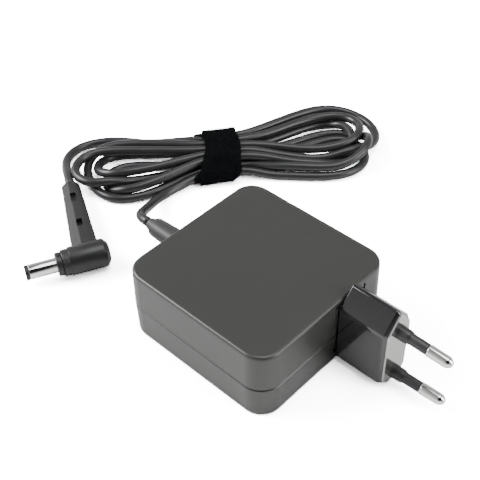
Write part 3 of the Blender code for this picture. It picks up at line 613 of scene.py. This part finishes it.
def settled(points):
    """Push strands a diameter apart while the cord stays stiff and near its laid route."""
    laid, place, count = points, points.copy(), len(points)
    along, across = hank_place(points)
    hold = np.full(count, LOOP_HOLD)
    hold[(along > STRAP_FROM - 0.5) & (along < STRAP_TO + 0.5) & (np.abs(across) < 13)] = STRAP_HOLD
    hold[:int(FIRST_END / SETTLE_SPACING)] = LOOSE_END_HOLD
    hold[-int(LAST_END / SETTLE_SPACING):] = LOOSE_END_HOLD
    hold[:3] = hold[-4:] = FIXED_HOLD
    second = np.diff(np.eye(count), 2, axis=0)
    firm = np.ones(count - 2)
    apart, floor = CORD_DIAMETER + TOUCH_GAP, CORD_DIAMETER / 2 + TABLE_GAP
    near = math.ceil(2.2 * CORD_DIAMETER / SETTLE_SPACING)
    for turn in range(SETTLE_ROUNDS):
        if turn % 6 == 5:
            bend = SETTLE_SPACING ** 2 / (np.linalg.norm(second @ place, axis=1) + 1e-9)
            firm = np.clip(firm * np.where(bend < LEAST_BEND, 1.7, 0.98), 1.0, 6.0)
        stiffness = BEND_STIFFNESS * second.T @ (firm[:, None] * second)
        gap = place[:, None] - place[None]
        reach = np.sqrt((gap ** 2).sum(2)) + 1e-9
        i, j = np.where(reach < apart)
        i, j = i[j - i > near], j[j - i > near]
        push = gap[i, j] / reach[i, j][:, None] * (apart - reach[i, j])[:, None] / 2
        touch, wish = np.zeros(count), np.zeros_like(place)
        for a, sign in ((i, 1), (j, -1)):
            np.add.at(wish, a, place[a] + sign * push)
            np.add.at(touch, a, 1.0)
        system = stiffness + np.diag(hold + CONTACT_WEIGHT * touch)
        target = hold[:, None] * laid + CONTACT_WEIGHT * wish
        low = np.where(place[:, 2] < floor + 0.03, 2.0, 0.0)
        flat = np.linalg.solve(system, target[:, :2])
        level = np.linalg.solve(system + np.diag(low), target[:, 2] + low * (floor + 0.04))
        place = 0.5 * place + 0.5 * np.column_stack([flat, level])
        place[:, 2] = np.maximum(place[:, 2], floor)
    return place


centreline = smooth_route(settled(smooth_route(whole_route(), SETTLE_SPACING)), 1.2) * MM

# %% [markdown]
# The cord itself is a mesh tube rather than a bevelled curve, because a tube can carry a UV map:
# one coordinate round it and one along it. The frame that carries each ring is turned only as much
# as the route turns, so the surface never twists.

# %% Build the tube
def carried_frames(line):
    """Two side directions at each point that turn only as much as the line does."""
    forward = np.gradient(line, axis=0)
    forward /= np.linalg.norm(forward, axis=1)[:, None]
    side = [np.cross(forward[0], (0.0, 0.0, 1.0))]
    side[0] /= np.linalg.norm(side[0])
    for direction in forward[1:]:
        carried = side[-1] - direction * np.dot(side[-1], direction)
        side.append(carried / np.linalg.norm(carried))
    side = np.array(side)
    return side, np.cross(forward, side)


def tube(name, line, radius, finish, around=18):
    """A capped tube with a UV map: round it in x, along it in metres in y."""
    side, up = carried_frames(line)
    turn = np.arange(around) * 2 * math.pi / around
    rings = (line[:, None] + radius * (np.cos(turn)[None, :, None] * side[:, None]
                                       + np.sin(turn)[None, :, None] * up[:, None]))
    count = len(line)
    verts = np.vstack([rings.reshape(-1, 3), line[:1], line[-1:]])
    run = np.r_[0, np.cumsum(np.linalg.norm(np.diff(line, axis=0), axis=1))]
    faces, marks = [], []
    for i in range(count - 1):
        for k in range(around):
            n = (k + 1) % around
            faces.append((i * around + k, i * around + n, (i + 1) * around + n, (i + 1) * around + k))
            a, b = k / around, (k + 1) / around
            marks += [(a, run[i]), (b, run[i]), (b, run[i + 1]), (a, run[i + 1])]
    first, last = count * around, count * around + 1
    for k in range(around):
        n = (k + 1) % around
        faces.append((n, k, first))
        faces.append(((count - 1) * around + k, (count - 1) * around + n, last))
        marks += [(0, 0), (0, 0), (0, 0), (0, run[-1]), (0, run[-1]), (0, run[-1])]
    mesh = bpy.data.meshes.new(name)
    mesh.from_pydata(verts.tolist(), [], faces)
    layer = mesh.uv_layers.new(name="run")
    layer.data.foreach_set("uv", np.array(marks, dtype=float).ravel())
    for face in mesh.polygons:
        face.use_smooth = True
    mesh.materials.append(finish)
    piece = bpy.data.objects.new(name, mesh)
    bpy.context.scene.collection.objects.link(piece)
    return piece


cord = tube("lead_cord", centreline, CORD_DIAMETER / 2 * MM, FINISHES["cord_black"])
bm = bmesh.new()
bm.from_mesh(cord.data)
bmesh.ops.recalc_face_normals(bm, faces=bm.faces)
bm.to_mesh(cord.data)
bm.free()
print("lead cord:", len(cord.data.polygons), "faces")

# %% [markdown]
# ## The hook-and-loop strap
# The strap is a woven band pulled tight, so its section is the outline a string would take round
# the ten strands: the convex hull of their circles. It goes round twice. The outer wrap slants to
# the left as it comes down the near side, and the inner wrap shows beyond its left edge at the sides
# and below. Both are lofted from that hull, with edges that are functions of the place round it.

# %% Strap bands
BAND_THICKNESS = 0.75


def hull_outline(offset, count=140):
    """Even points round the convex hull of the strands, moved outwards by an offset."""
    radius = CORD_DIAMETER / 2 + offset
    turn = np.linspace(0, 2 * math.pi, 60, endpoint=False)
    cloud = np.vstack([np.column_stack([a + radius * np.cos(turn), z + radius * np.sin(turn)])
                       for a, z in PASSES])
    cloud = cloud[np.lexsort((cloud[:, 1], cloud[:, 0]))]

    def chain(points):
        kept = []
        for p in points:
            while len(kept) > 1 and np.cross(kept[-1] - kept[-2], p - kept[-2]) <= 0:
                kept.pop()
            kept.append(p)
        return kept[:-1]

    hull = np.array(chain(list(cloud)) + chain(list(cloud[::-1])))
    loop = np.vstack([hull, hull[:1]])
    run = np.r_[0, np.cumsum(np.linalg.norm(np.diff(loop, axis=0), axis=1))]
    even = np.linspace(0, run[-1], count, endpoint=False)
    loop = np.stack([np.interp(even, run, loop[:, i]) for i in range(2)], axis=1)
    for _ in range(6):
        loop = 0.5 * loop + 0.25 * (np.roll(loop, 1, axis=0) + np.roll(loop, -1, axis=0))
    return loop


# The band's section, as (share of its width, share of its thickness), once round
BAND_SECTION = ((0, 0.12), (0, 0.88), (0.02, 1), (0.25, 1.0), (0.5, 1.0), (0.75, 1.0), (0.98, 1),
                (1, 0.88), (1, 0.12), (0.98, 0), (0.5, 0), (0.02, 0))


def band(name, inner_offset, left_edge, right_edge, wave):
    """One wrap of the strap; its edges are given by functions of the turn."""
    inner, outer = hull_outline(inner_offset), hull_outline(inner_offset + BAND_THICKNESS)
    count, rings = len(inner), []
    for k in range(count):
        turn = 2 * math.pi * k / count
        left, right = left_edge(inner[k], turn), right_edge(inner[k], turn)
        across = []
        for share, deep in BAND_SECTION:
            along = left + share * (right - left)
            lift = wave * math.sin(3 * turn + 0.5 * along) * (1 if deep > 0.5 else 0)
            a, z = inner[k] + (outer[k] - inner[k]) * (deep + lift)
            across.append(tuple(v * MM for v in on_hank(along, a, max(z, 0.03))))
        rings.append(across)
    return loft(name, rings, FINISHES["strap_fabric"], closed=True, edge_angle=60)


def ease(value):
    """A smooth step from 0 to 1."""
    value = min(max(value, 0.0), 1.0)
    return value * value * (3 - 2 * value)


def outer_left(point, turn):
    """Left edge of the outer wrap, which slants to the left as it comes down the near side."""
    a, z = point
    near = ease(-a / 12)
    return -7.4 - 3.0 * near - 1.6 * near * ease((9 - z) / 4) + 0.2 * math.sin(2 * turn + 0.6)


def outer_right(point, turn):
    """Right edge of the outer wrap, drawn in at the foot of the near side."""
    a, z = point
    near = ease(-a / 12)
    return 6.3 - 1.2 * near - 4.6 * near * ease((6.5 - z) / 6.5) + 0.2 * math.sin(3 * turn)


def inner_left(point, turn):
    """Left edge of the inner wrap: hidden on top, out to the left at the sides and below."""
    a, z = point
    low, far = ease((7.5 - z) / 3.5), ease((a - 5) / 6) * ease((10 - z) / 2)
    return -7.0 - 3.2 * ease(-a / 12) - 4.4 * low - 4.0 * far


strap_inner = band("strap_inner_wrap", 0.2, inner_left, lambda p, t: outer_right(p, t) - 1.0, 0.05)
strap_outer = band("strap_outer_wrap", 0.3 + BAND_THICKNESS, outer_left, outer_right, 0.1)
print("strap wraps:", len(strap_inner.data.polygons), len(strap_outer.data.polygons))

# %% [markdown]
# The loops of the strap stand up as a short fuzz that catches the light along its edges. Thousands
# of equal little things on a surface are a job for Geometry Nodes: points are scattered on the
# band with a fixed seed, a thin three-sided fibre is set on each, tilted and scaled at random, and
# the result is made real so that it can be exported.

# %% Fuzz on the strap, by Geometry Nodes
def fuzz_tree():
    """Scatter short tapered fibres over a surface."""
    tree = bpy.data.node_groups.new("strap fuzz", "GeometryNodeTree")
    for label, kind in (("Geometry", "NodeSocketGeometry"), ("Fibres per Area", "NodeSocketFloat"),
                        ("Fibre Length", "NodeSocketFloat"), ("Fibre Radius", "NodeSocketFloat"),
                        ("Lean", "NodeSocketFloat"), ("Seed", "NodeSocketInt"),
                        ("Finish", "NodeSocketMaterial")):
        tree.interface.new_socket(label, in_out="INPUT", socket_type=kind)
    tree.interface.new_socket("Geometry", in_out="OUTPUT", socket_type="NodeSocketGeometry")
    new, link = tree.nodes.new, tree.links.new
    source, out = new("NodeGroupInput"), new("NodeGroupOutput")
    scatter = new("GeometryNodeDistributePointsOnFaces")
    fibre = new("GeometryNodeMeshCone")
    fibre.inputs["Vertices"].default_value = 3
    fibre.inputs["Radius Top"].default_value = 0.0
    lean = new("FunctionNodeRandomValue")
    lean.data_type = "FLOAT_VECTOR"
    for end, way in enumerate((-1, 1)):
        limit = new("ShaderNodeVectorMath")
        limit.operation = "SCALE"
        limit.inputs[0].default_value = (way, way, way)
        link(source.outputs["Lean"], limit.inputs["Scale"])
        link(limit.outputs[0], lean.inputs[end])
    turn = new("FunctionNodeRotateRotation")
    turn.rotation_space = "LOCAL"
    to_turn = new("FunctionNodeEulerToRotation")
    size = new("FunctionNodeRandomValue")
    size.data_type = "FLOAT"
    size.inputs[2].default_value, size.inputs[3].default_value = 0.45, 1.0
    place = new("GeometryNodeInstanceOnPoints")
    real, dress = new("GeometryNodeRealizeInstances"), new("GeometryNodeSetMaterial")
    link(source.outputs["Geometry"], scatter.inputs["Mesh"])
    link(source.outputs["Fibres per Area"], scatter.inputs["Density"])
    link(source.outputs["Seed"], scatter.inputs["Seed"])
    link(source.outputs["Fibre Radius"], fibre.inputs["Radius Bottom"])
    link(source.outputs["Fibre Length"], fibre.inputs["Depth"])
    link(source.outputs["Seed"], lean.inputs["Seed"])
    link(source.outputs["Seed"], size.inputs["Seed"])
    link(lean.outputs[0], to_turn.inputs[0])
    link(scatter.outputs["Rotation"], turn.inputs[0])
    link(to_turn.outputs[0], turn.inputs[1])
    link(scatter.outputs["Points"], place.inputs["Points"])
    link(fibre.outputs["Mesh"], place.inputs["Instance"])
    link(turn.outputs[0], place.inputs["Rotation"])
    link(size.outputs[1], place.inputs["Scale"])
    link(place.outputs[0], real.inputs[0])
    link(real.outputs[0], dress.inputs["Geometry"])
    link(source.outputs["Finish"], dress.inputs["Material"])
    link(dress.outputs[0], out.inputs[0])
    return tree


def grown(name, ground, tree, values):
    """Run a node tree on a copy of a piece and keep the result as a plain mesh."""
    piece = bpy.data.objects.new(name, ground.data.copy())
    bpy.context.scene.collection.objects.link(piece)
    grow = piece.modifiers.new("grow", "NODES")
    grow.node_group = tree
    for item in tree.interface.items_tree:
        if item.in_out == "INPUT" and item.name in values:
            grow[item.identifier] = values[item.name]
    return applied(piece)


def kept_above(piece, floor):
    """Lift every point that has gone below a height up to it."""
    places = np.empty(len(piece.data.vertices) * 3)
    piece.data.vertices.foreach_get("co", places)
    places[2::3] = np.maximum(places[2::3], floor)
    piece.data.vertices.foreach_set("co", places)


strap_fuzz = grown("strap_fuzz", strap_outer, fuzz_tree(),
                   {"Fibres per Area": 6.0e6, "Fibre Length": 0.0012, "Fibre Radius": 0.00006, "Lean": 0.9,
                    "Seed": 7, "Finish": FINISHES["strap_fabric"]})
kept_above(strap_fuzz, 0.02 * MM)
print("fuzz:", len(strap_fuzz.data.polygons), "faces")

# %% [markdown]
# ## The block: two shells that meet at a seam
# The block is a rounded square with walls that lean in slightly from the seam, so that each shell
# can leave its mould. What the eye reads is the small even round along the top edge and the dark
# line where the shells meet. Both shells are stacks of rounded-square outlines that go up the
# outside and down the inside, so they have real walls.

# %% Block shells
BLOCK_HALF, BLOCK_HEIGHT, BLOCK_CORNER = 30.6, 27.2, 7.8
DRAFT, SEAM_Z, SEAM_HALF_GAP, WALL = 0.3, 12.6, 0.15, 2.0
RELIEF_Z = 13.1
CORNER_STEPS = 16


def block_ring(inset, z):
    """A rounded-square outline of the block, moved in by an inset."""
    half, radius = BLOCK_HALF - inset, max(BLOCK_CORNER - inset, 0.6)
    ring = []
    for quarter in range(4):
        centre = math.pi / 4 + quarter * math.pi / 2
        cx = math.copysign(half - radius, math.cos(centre))
        cy = math.copysign(half - radius, math.sin(centre))
        for step in range(CORNER_STEPS + 1):
            angle = centre - math.pi / 4 + step * math.pi / 2 / CORNER_STEPS
            ring.append(((cx + radius * math.cos(angle)) * MM, (cy + radius * math.sin(angle)) * MM, z * MM))
    return ring


def edge_round(inset, z, radius, way, steps=6):
    """Insets and heights of a quarter round, from the flat face out to the wall."""
    turns = [math.pi / 2 * k / steps for k in range(steps + 1)]
    return [(inset + radius * (1 - math.sin(t)), z - way * radius * (1 - math.cos(t))) for t in turns]


def shell(name, levels, finish):
    return loft(name, [block_ring(inset, z) for inset, z in levels], finish)


def upper_levels():
    seam = SEAM_Z + SEAM_HALF_GAP
    return ([(2.6, BLOCK_HEIGHT)] + edge_round(DRAFT, BLOCK_HEIGHT, 1.15, 1)
            + [(DRAFT - 0.02, BLOCK_HEIGHT - 1.6), (0.02, seam + 0.6), (0.03, seam + 0.22), (0.25, seam),
               (WALL, seam), (WALL + DRAFT, BLOCK_HEIGHT - WALL)])


def lower_levels():
    seam = SEAM_Z - SEAM_HALF_GAP
    lip = WALL + DRAFT
    return ([(2.4, 0.0)] + edge_round(DRAFT, 0.0, 1.0, -1)
            + [(DRAFT - 0.02, 1.5), (0.02, seam - 0.6), (0.03, seam - 0.22), (0.25, seam), (lip, seam),
               (lip, seam + 1.6), (lip + 0.9, seam + 1.6), (lip + 0.9, WALL)])


HEAD_Y = 10.3
POCKET_LOW, POCKET_HIGH = (25.0, HEAD_Y - 7.4, 4.3), (40.0, HEAD_Y + 7.4, 25.5)


def pocket_cutter(label):
    return slab("pocket_" + label, [v * MM for v in POCKET_LOW], [v * MM for v in POCKET_HIGH])


def seat_cutter(label):
    seat = [(-35.6, 0), (-35.6, 4.4), (-28.7, 4.4), (-28.7, 5.8), (-22.6, 5.8), (-22.6, 0)]
    return turned("seat_" + label, [(a * MM, r * MM) for a, r in seat], None, about((0, 0, RELIEF_Z * MM)))


upper = carve(shell("housing_upper", upper_levels(), FINISHES["housing_black"]),
              pocket_cutter("upper"), seat_cutter("upper"))
lower = carve(shell("housing_lower", lower_levels(), FINISHES["housing_black"]),
              pocket_cutter("lower"), seat_cutter("lower"))
for half in (upper, lower):
    even_shading(half)
print("shells:", len(upper.data.polygons), len(lower.data.polygons))

# %% [markdown]
# ## The plug head
# The head is a tall glossy prism that fills a pocket in the wall and pulls straight out. Its edges
# are rounded with real bevels, a slot runs along the far side of its crest for the catch, and a
# polished pale plate closes its face. It is hollow, because the two contacts stand inside it. The
# carrier is a separate piece: the low tongue on the head's back that fills the pocket.

# %% Head housing and face plate
HEAD_HALF = ((6.5, 2.8), (6.5, 23.2), (5.9, 24.9), (1.0, 30.3), (0.3, 30.8))    # side of the head, going up
HEAD_FLAT = (3.6, 0.2)               # corner of the flat bottom
HEAD_CENTRE = (6.5, 15.5, 15.3)      # half width, mid level and half height that an inset shrinks
HEAD_ROOT_X, HEAD_FACE_X, PLATE_THICKNESS, HEAD_BEVEL, HEAD_WALL = 31.0, 49.0, 0.4, 0.9, 1.5
CARRIER_HALF, CARRIER_X, CARRIER_Z, CARRIER_CLIP = 7.1, (28.0, 30.6), (4.6, 25.2), 0.8


def mirrored(x, half, lowest):
    """Twelve-sided outline that is the same on both sides of the head's centre line."""
    pairs = [(-y, z) for y, z in half] + [(y, z) for y, z in reversed(half)]
    pairs += [lowest, (-lowest[0], lowest[1])]
    return [(x * MM, (HEAD_Y + y) * MM, z * MM) for y, z in pairs]


def head_outline(x, inset=0.0):
    """The head's outline at x, shrunk towards its middle by an inset."""
    half_width, middle, half_height = HEAD_CENTRE
    thinner, lower = 1 - inset / half_width, 1 - inset / half_height

    def shrunk(y, z):
        return y * thinner, middle + (z - middle) * lower

    return mirrored(x, [shrunk(*corner) for corner in HEAD_HALF], shrunk(*HEAD_FLAT))


def carrier_outline(x, half=CARRIER_HALF):
    """The clipped rectangle that fills the pocket."""
    (low, high), clip = CARRIER_Z, CARRIER_CLIP
    side = [(half, low + clip), (half, high - clip), (half - clip, high), (2.2, high), (0.6, high)]
    return mirrored(x, side, (half - clip, low))


rim_x = HEAD_FACE_X - PLATE_THICKNESS
head = loft("plug_head_body", [head_outline(HEAD_ROOT_X), head_outline(rim_x - 1.1),
                               head_outline(rim_x, HEAD_BEVEL - 0.05)], FINISHES["plug_head_black"])
soften(head, 0.35 * MM, 3)
SLOT_LOW, SLOT_HIGH = (29.0, HEAD_Y + 2.5, 27.6), (43.3, HEAD_Y + 3.3, 30.5)
slot = slab("slot", [v * MM for v in SLOT_LOW], [v * MM for v in SLOT_HIGH])
HOLLOW_X = (HEAD_ROOT_X + HEAD_WALL, 47.6)
hollow = loft("hollow", [head_outline(x, HEAD_WALL) for x in HOLLOW_X], None)
even_shading(carve(head, slot, hollow, edge_angle=25))
carrier = loft("plug_head_carrier", [carrier_outline(CARRIER_X[0]), carrier_outline(30.1),
                                     carrier_outline(30.15, 6.4), carrier_outline(HEAD_ROOT_X + 0.1, 6.4)],
               FINISHES["plug_head_black"])

PLATE_EDGE = 0.15
plate = loft("plug_face", [head_outline(rim_x - 0.4, HEAD_BEVEL),
                           head_outline(HEAD_FACE_X - PLATE_EDGE, HEAD_BEVEL),
                           head_outline(HEAD_FACE_X, HEAD_BEVEL + PLATE_EDGE)],
             FINISHES["face_plate_grey"], edge_angle=25)
even_shading(plate)
print("head:", len(head.data.polygons), "plate:", len(plate.data.polygons))

# %% [markdown]
# ## Pins and sleeves
# Each pin is a plated rod with a rounded tip, and its first half is covered by a black sleeve that
# is thicker at the root, where it tapers like a collar. Both are turned shapes. The pins lean towards
# each other a little, as they do on this kind of plug, so each is turned about its own slightly
# tilted axis.

# %% Pins and sleeves
PIN_MID_Z, PIN_SPACING_ROOT, PIN_SPACING_TIP, PIN_LENGTH = 13.6, 18.6, 17.5, 19.0
PIN_TILT = math.atan((PIN_SPACING_ROOT - PIN_SPACING_TIP) / 2 / PIN_LENGTH)
PIN_PROFILE = [(-1.5, 0), (-1.5, 1.3), (10.6, 1.3), (10.6, 2.0), (17.6, 1.9), (18.8, 0.9), (19.0, 0.4),
               (19.0, 0)]
SLEEVE_PROFILE = [(-0.2, 1.3), (-0.2, 2.4), (3.6, 2.25), (4.5, 1.85), (10.4, 1.85), (10.4, 1.3)]


def in_metres(profile):
    return [(a * MM, r * MM) for a, r in profile]


pins = {}
for label, side in (("upper", 1), ("lower", -1)):
    place = about((HEAD_FACE_X * MM, HEAD_Y * MM, (PIN_MID_Z + side * PIN_SPACING_ROOT / 2) * MM),
                  tilt=side * PIN_TILT)
    pins["plug_pin_" + label] = turned("pin_" + label, in_metres(rounded(PIN_PROFILE, 0.9, 6)),
                                       FINISHES["nickel_plate"], place, 48)
    pins["pin_sleeve_" + label] = turned("sleeve_" + label, in_metres(rounded(SLEEVE_PROFILE, 0.25)),
                                         FINISHES["pin_sleeve_black"], place, 48, closed=True)
print("pins:", list(pins))

# %% [markdown]
# ## The strain relief on the block
# The lead leaves the block through a tapered boot with a small stepped neck at its tip. It is not
# quite round: its sides are a little flattened. So each ring is a superellipse, a circle pushed
# towards a square, that fades to a true circle at the tip. The first rings are the flange that
# holds it in the wall.

# %% Boot on the block
# Each: place along x, radius, and how far the ring is pushed towards a square
GLAND_STATIONS = [(-27.0, 5.0, 0.0), (-28.3, 5.0, 0.0), (-28.32, 3.9, 0.0), (-30.85, 3.9, 0.0),
                  (-30.9, 4.0, 0.3), (-31.5, 4.05, 0.3), (-38.0, 3.85, 0.3), (-45.0, 3.6, 0.3),
                  (-48.6, 3.45, 0.2), (-49.4, 3.2, 0.1), (-49.7, 2.75, 0.0), (-49.8, 2.4, 0.0),
                  (-51.2, 2.3, 0.0), (-51.7, 2.15, 0.0), (-51.8, 2.0, 0.0)]


def squircle_ring(x, radius, squareness, count=48):
    """A ring between a circle and a rounded square, round the boot's axis."""
    power = 2 + 1.6 * squareness
    ring = []
    for k in range(count):
        a = 2 * math.pi * k / count
        c, s = math.cos(a), math.sin(a)
        reach = radius * (1 - 0.06 * squareness) / (abs(c) ** power + abs(s) ** power) ** (1 / power)
        ring.append((x * MM, reach * c * MM, (RELIEF_Z + reach * s) * MM))
    return ring


gland = loft("lead_boot", [squircle_ring(*station) for station in GLAND_STATIONS], FINISHES["boot_grey"],
             edge_angle=30)
print("boot:", len(gland.data.polygons), "faces")

# %% [markdown]
# ## The angled DC plug
# The plug is a short round body with fine rings near its nose, a bright barrel with a black tip
# ring, and an eight-sided boot that leaves it sideways with two small flex windows on top.

# %% DC plug body, nose, barrel and tip
DC_CROSSING = Vector((-62.2, -22.0, 5.35)) * MM      # where the boot meets the plug's axis
DC_PLACE = about(DC_CROSSING, math.radians(-116.0))
BOOT_PLACE = about(DC_CROSSING, math.radians(149.3))
BODY_RADIUS = 5.25
NECK_RADIUS = BODY_RADIUS - 0.35


def ring_grooves(start, count, pitch, radius, depth):
    """Profile points for a row of small shallow grooves."""
    points = []
    for k in range(count):
        a = start + k * pitch
        points += [(a, radius), (a + 0.12, radius - depth), (a + 0.3, radius - depth), (a + 0.42, radius)]
    return points


body_profile = ([(-8.1, 0), (-8.1, 3.2), (-8.0, 3.5), (-6.75, 4.95), (-6.4, 5.18), (-5.9, BODY_RADIUS),
                 (5.9, BODY_RADIUS), (6.2, BODY_RADIUS - 0.1), (6.3, NECK_RADIUS)]
                + ring_grooves(6.5, 3, 0.8, NECK_RADIUS, 0.07)
                + [(8.7, NECK_RADIUS), (8.95, BODY_RADIUS - 0.5), (9.0, BODY_RADIUS - 0.7), (9.0, 0)])
dc_body = turned("dc_body", in_metres(body_profile), FINISHES["dc_plug_black"], DC_PLACE, 72)
dc_nose = turned("dc_nose", in_metres(rounded([(9.05, 0), (9.05, 4.35), (11.1, 4.3), (11.1, 0)], 0.4)),
                 FINISHES["dc_plug_black"], DC_PLACE, 72)
barrel_profile = rounded([(10.9, 0), (10.9, 2.75), (20.95, 2.75), (20.95, 2.3), (12.2, 2.3), (12.2, 0)], 0.15)
dc_barrel = turned("dc_barrel_bright", in_metres(barrel_profile), FINISHES["nickel_plate"], DC_PLACE, 64)
tip_profile = rounded([(21.0, 1.3), (21.0, 2.75), (22.4, 2.75), (22.4, 1.3), (21.1, 1.3)], 0.3)
dc_tip = turned("dc_tip", in_metres(tip_profile), FINISHES["tip_ring_black"], DC_PLACE, 64, closed=True)
print("plug body radius", BODY_RADIUS)

# %% Boot of the DC plug
def boot_ring(along, half_width, half_height, clip=0.38):
    pairs = [(-1, -1 + 2 * clip), (-1, 1 - 2 * clip), (-1 + 2 * clip, 1), (1 - 2 * clip, 1),
             (1, 1 - 2 * clip), (1, -1 + 2 * clip), (1 - 2 * clip, -1), (-1 + 2 * clip, -1)]
    return [BOOT_PLACE @ Vector((along * MM, a * half_width * MM, b * half_height * MM)) for a, b in pairs]


dc_boot = loft("dc_boot", [boot_ring(2.0, 4.9, 4.1), boot_ring(41.6, 3.5, 3.0), boot_ring(42.5, 2.6, 2.4)],
               FINISHES["cord_black"])
soften(dc_boot, 0.35 * MM, 3, 20)
cutters = [turned("body_clearance", in_metres([(-15, 0), (-15, BODY_RADIUS - 0.3), (15, BODY_RADIUS - 0.3),
                                               (15, 0)]), None, DC_PLACE)]
WINDOWS, WINDOW_HALF, WINDOW_FLOOR, ABOVE_BOOT = ((13.4, 17.4), (28.4, 33.6)), 1.1, 1.9, 8.0
for start, end in WINDOWS:
    window = slab("window", (start * MM, -WINDOW_HALF * MM, WINDOW_FLOOR * MM),
                  (end * MM, WINDOW_HALF * MM, ABOVE_BOOT * MM))
    window.data.transform(BOOT_PLACE)
    cutters.append(window)
even_shading(carve(dc_boot, *cutters, edge_angle=25))
print("DC boot:", len(dc_boot.data.polygons), "faces")

# %% [markdown]
# ## What is inside the block
# The circuit board and its parts keep their CAD shapes, because they are right as they are and sit
# behind closed walls. Each gets the finish of what it is made of.

# %% Finishes for the parts inside
INSIDE = {
    "insulation_film": ["insulation_sheet"], "board_laminate": ["circuit_board"],
    "contact_brass": ["contact_spring_live", "contact_spring_neutral", "head_contact_upper",
                      "head_contact_lower", "dc_inner_contact"],
    "fuse_ceramic": ["fuse"], "copper_wire": ["common_mode_choke", "output_choke"],
    "capacitor_box_yellow": ["x_capacitor"], "winding_tape": ["transformer_winding"],
    "component_black": ["bridge_rectifier", "switching_transistor", "optocoupler", "controller_chip",
                        "output_rectifier"],
    "capacitor_sleeve": ["bulk_capacitor_1", "bulk_capacitor_2", "output_capacitor_1", "output_capacitor_2"],
    "ferrite": ["transformer_core"], "heat_sink_aluminium": ["primary_heat_sink", "secondary_heat_sink"],
    "disc_capacitor_blue": ["y_capacitor"], "wire_red": ["output_wire_positive"],
    "wire_black": ["output_wire_negative"],
}
for finish_name, names in INSIDE.items():
    for name in names:
        data = nodes[name].data
        data.materials.clear()
        data.materials.append(FINISHES[finish_name])
print("inside parts dressed:", sum(len(v) for v in INSIDE.values()))

# %% [markdown]
# ## Say what rides on what
# Everything but the plug head belongs to the block. The head, its plate, pins and sleeves ride on
# the head's own body, so they slide out with it. The CAD parts that the new pieces stand for are hidden.

# %% Bodies and replaced parts
RIDES = [
    (upper, "block", "housing_black", ["top_shell"]), (lower, "block", "housing_black", ["bottom_shell"]),
    (gland, "block", "cord_black", ["cord_strain_relief"]),
    (cord, "block", "cord_black", ["cord_lead_in", "cord_hank", "cord_lead_out"]),
    (strap_outer, "block", "strap_fabric", ["hook_and_loop_strap"]),
    (strap_inner, "block", "strap_fabric", []), (strap_fuzz, "block", "strap_fabric", []),
    (dc_body, "block", "cord_black", ["dc_plug_body"]), (dc_nose, "block", "cord_black", ["dc_plug_nose"]),
    (dc_barrel, "block", "nickel_plate", ["dc_barrel"]),
    (dc_tip, "block", "component_black", ["dc_tip_ring"]),
    (dc_boot, "block", "cord_black", ["dc_strain_relief"]),
    (head, "plug_head", "plug_head_black", ["plug_head_housing"]),
    (carrier, "plug_head", "plug_head_black", []),
    (plate, "plug_head", "face_plate_grey", ["plug_face_plate"]),
]
for label in ("upper", "lower"):
    RIDES.append((pins["plug_pin_" + label], "plug_head", "nickel_plate", ["plug_pin_" + label]))
    RIDES.append((pins["pin_sleeve_" + label], "plug_head", "pin_sleeve_black", ["pin_sleeve_" + label]))
for piece, body, slot_name, replaced in RIDES:
    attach(piece, body)
    if replaced:
        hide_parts(*replaced)

print("pieces riding:", len(RIDES))

# %% [markdown]
# ## Bring the scene up to date
# The view layer is updated once more.

# %% Update the view layer
bpy.context.view_layer.update()
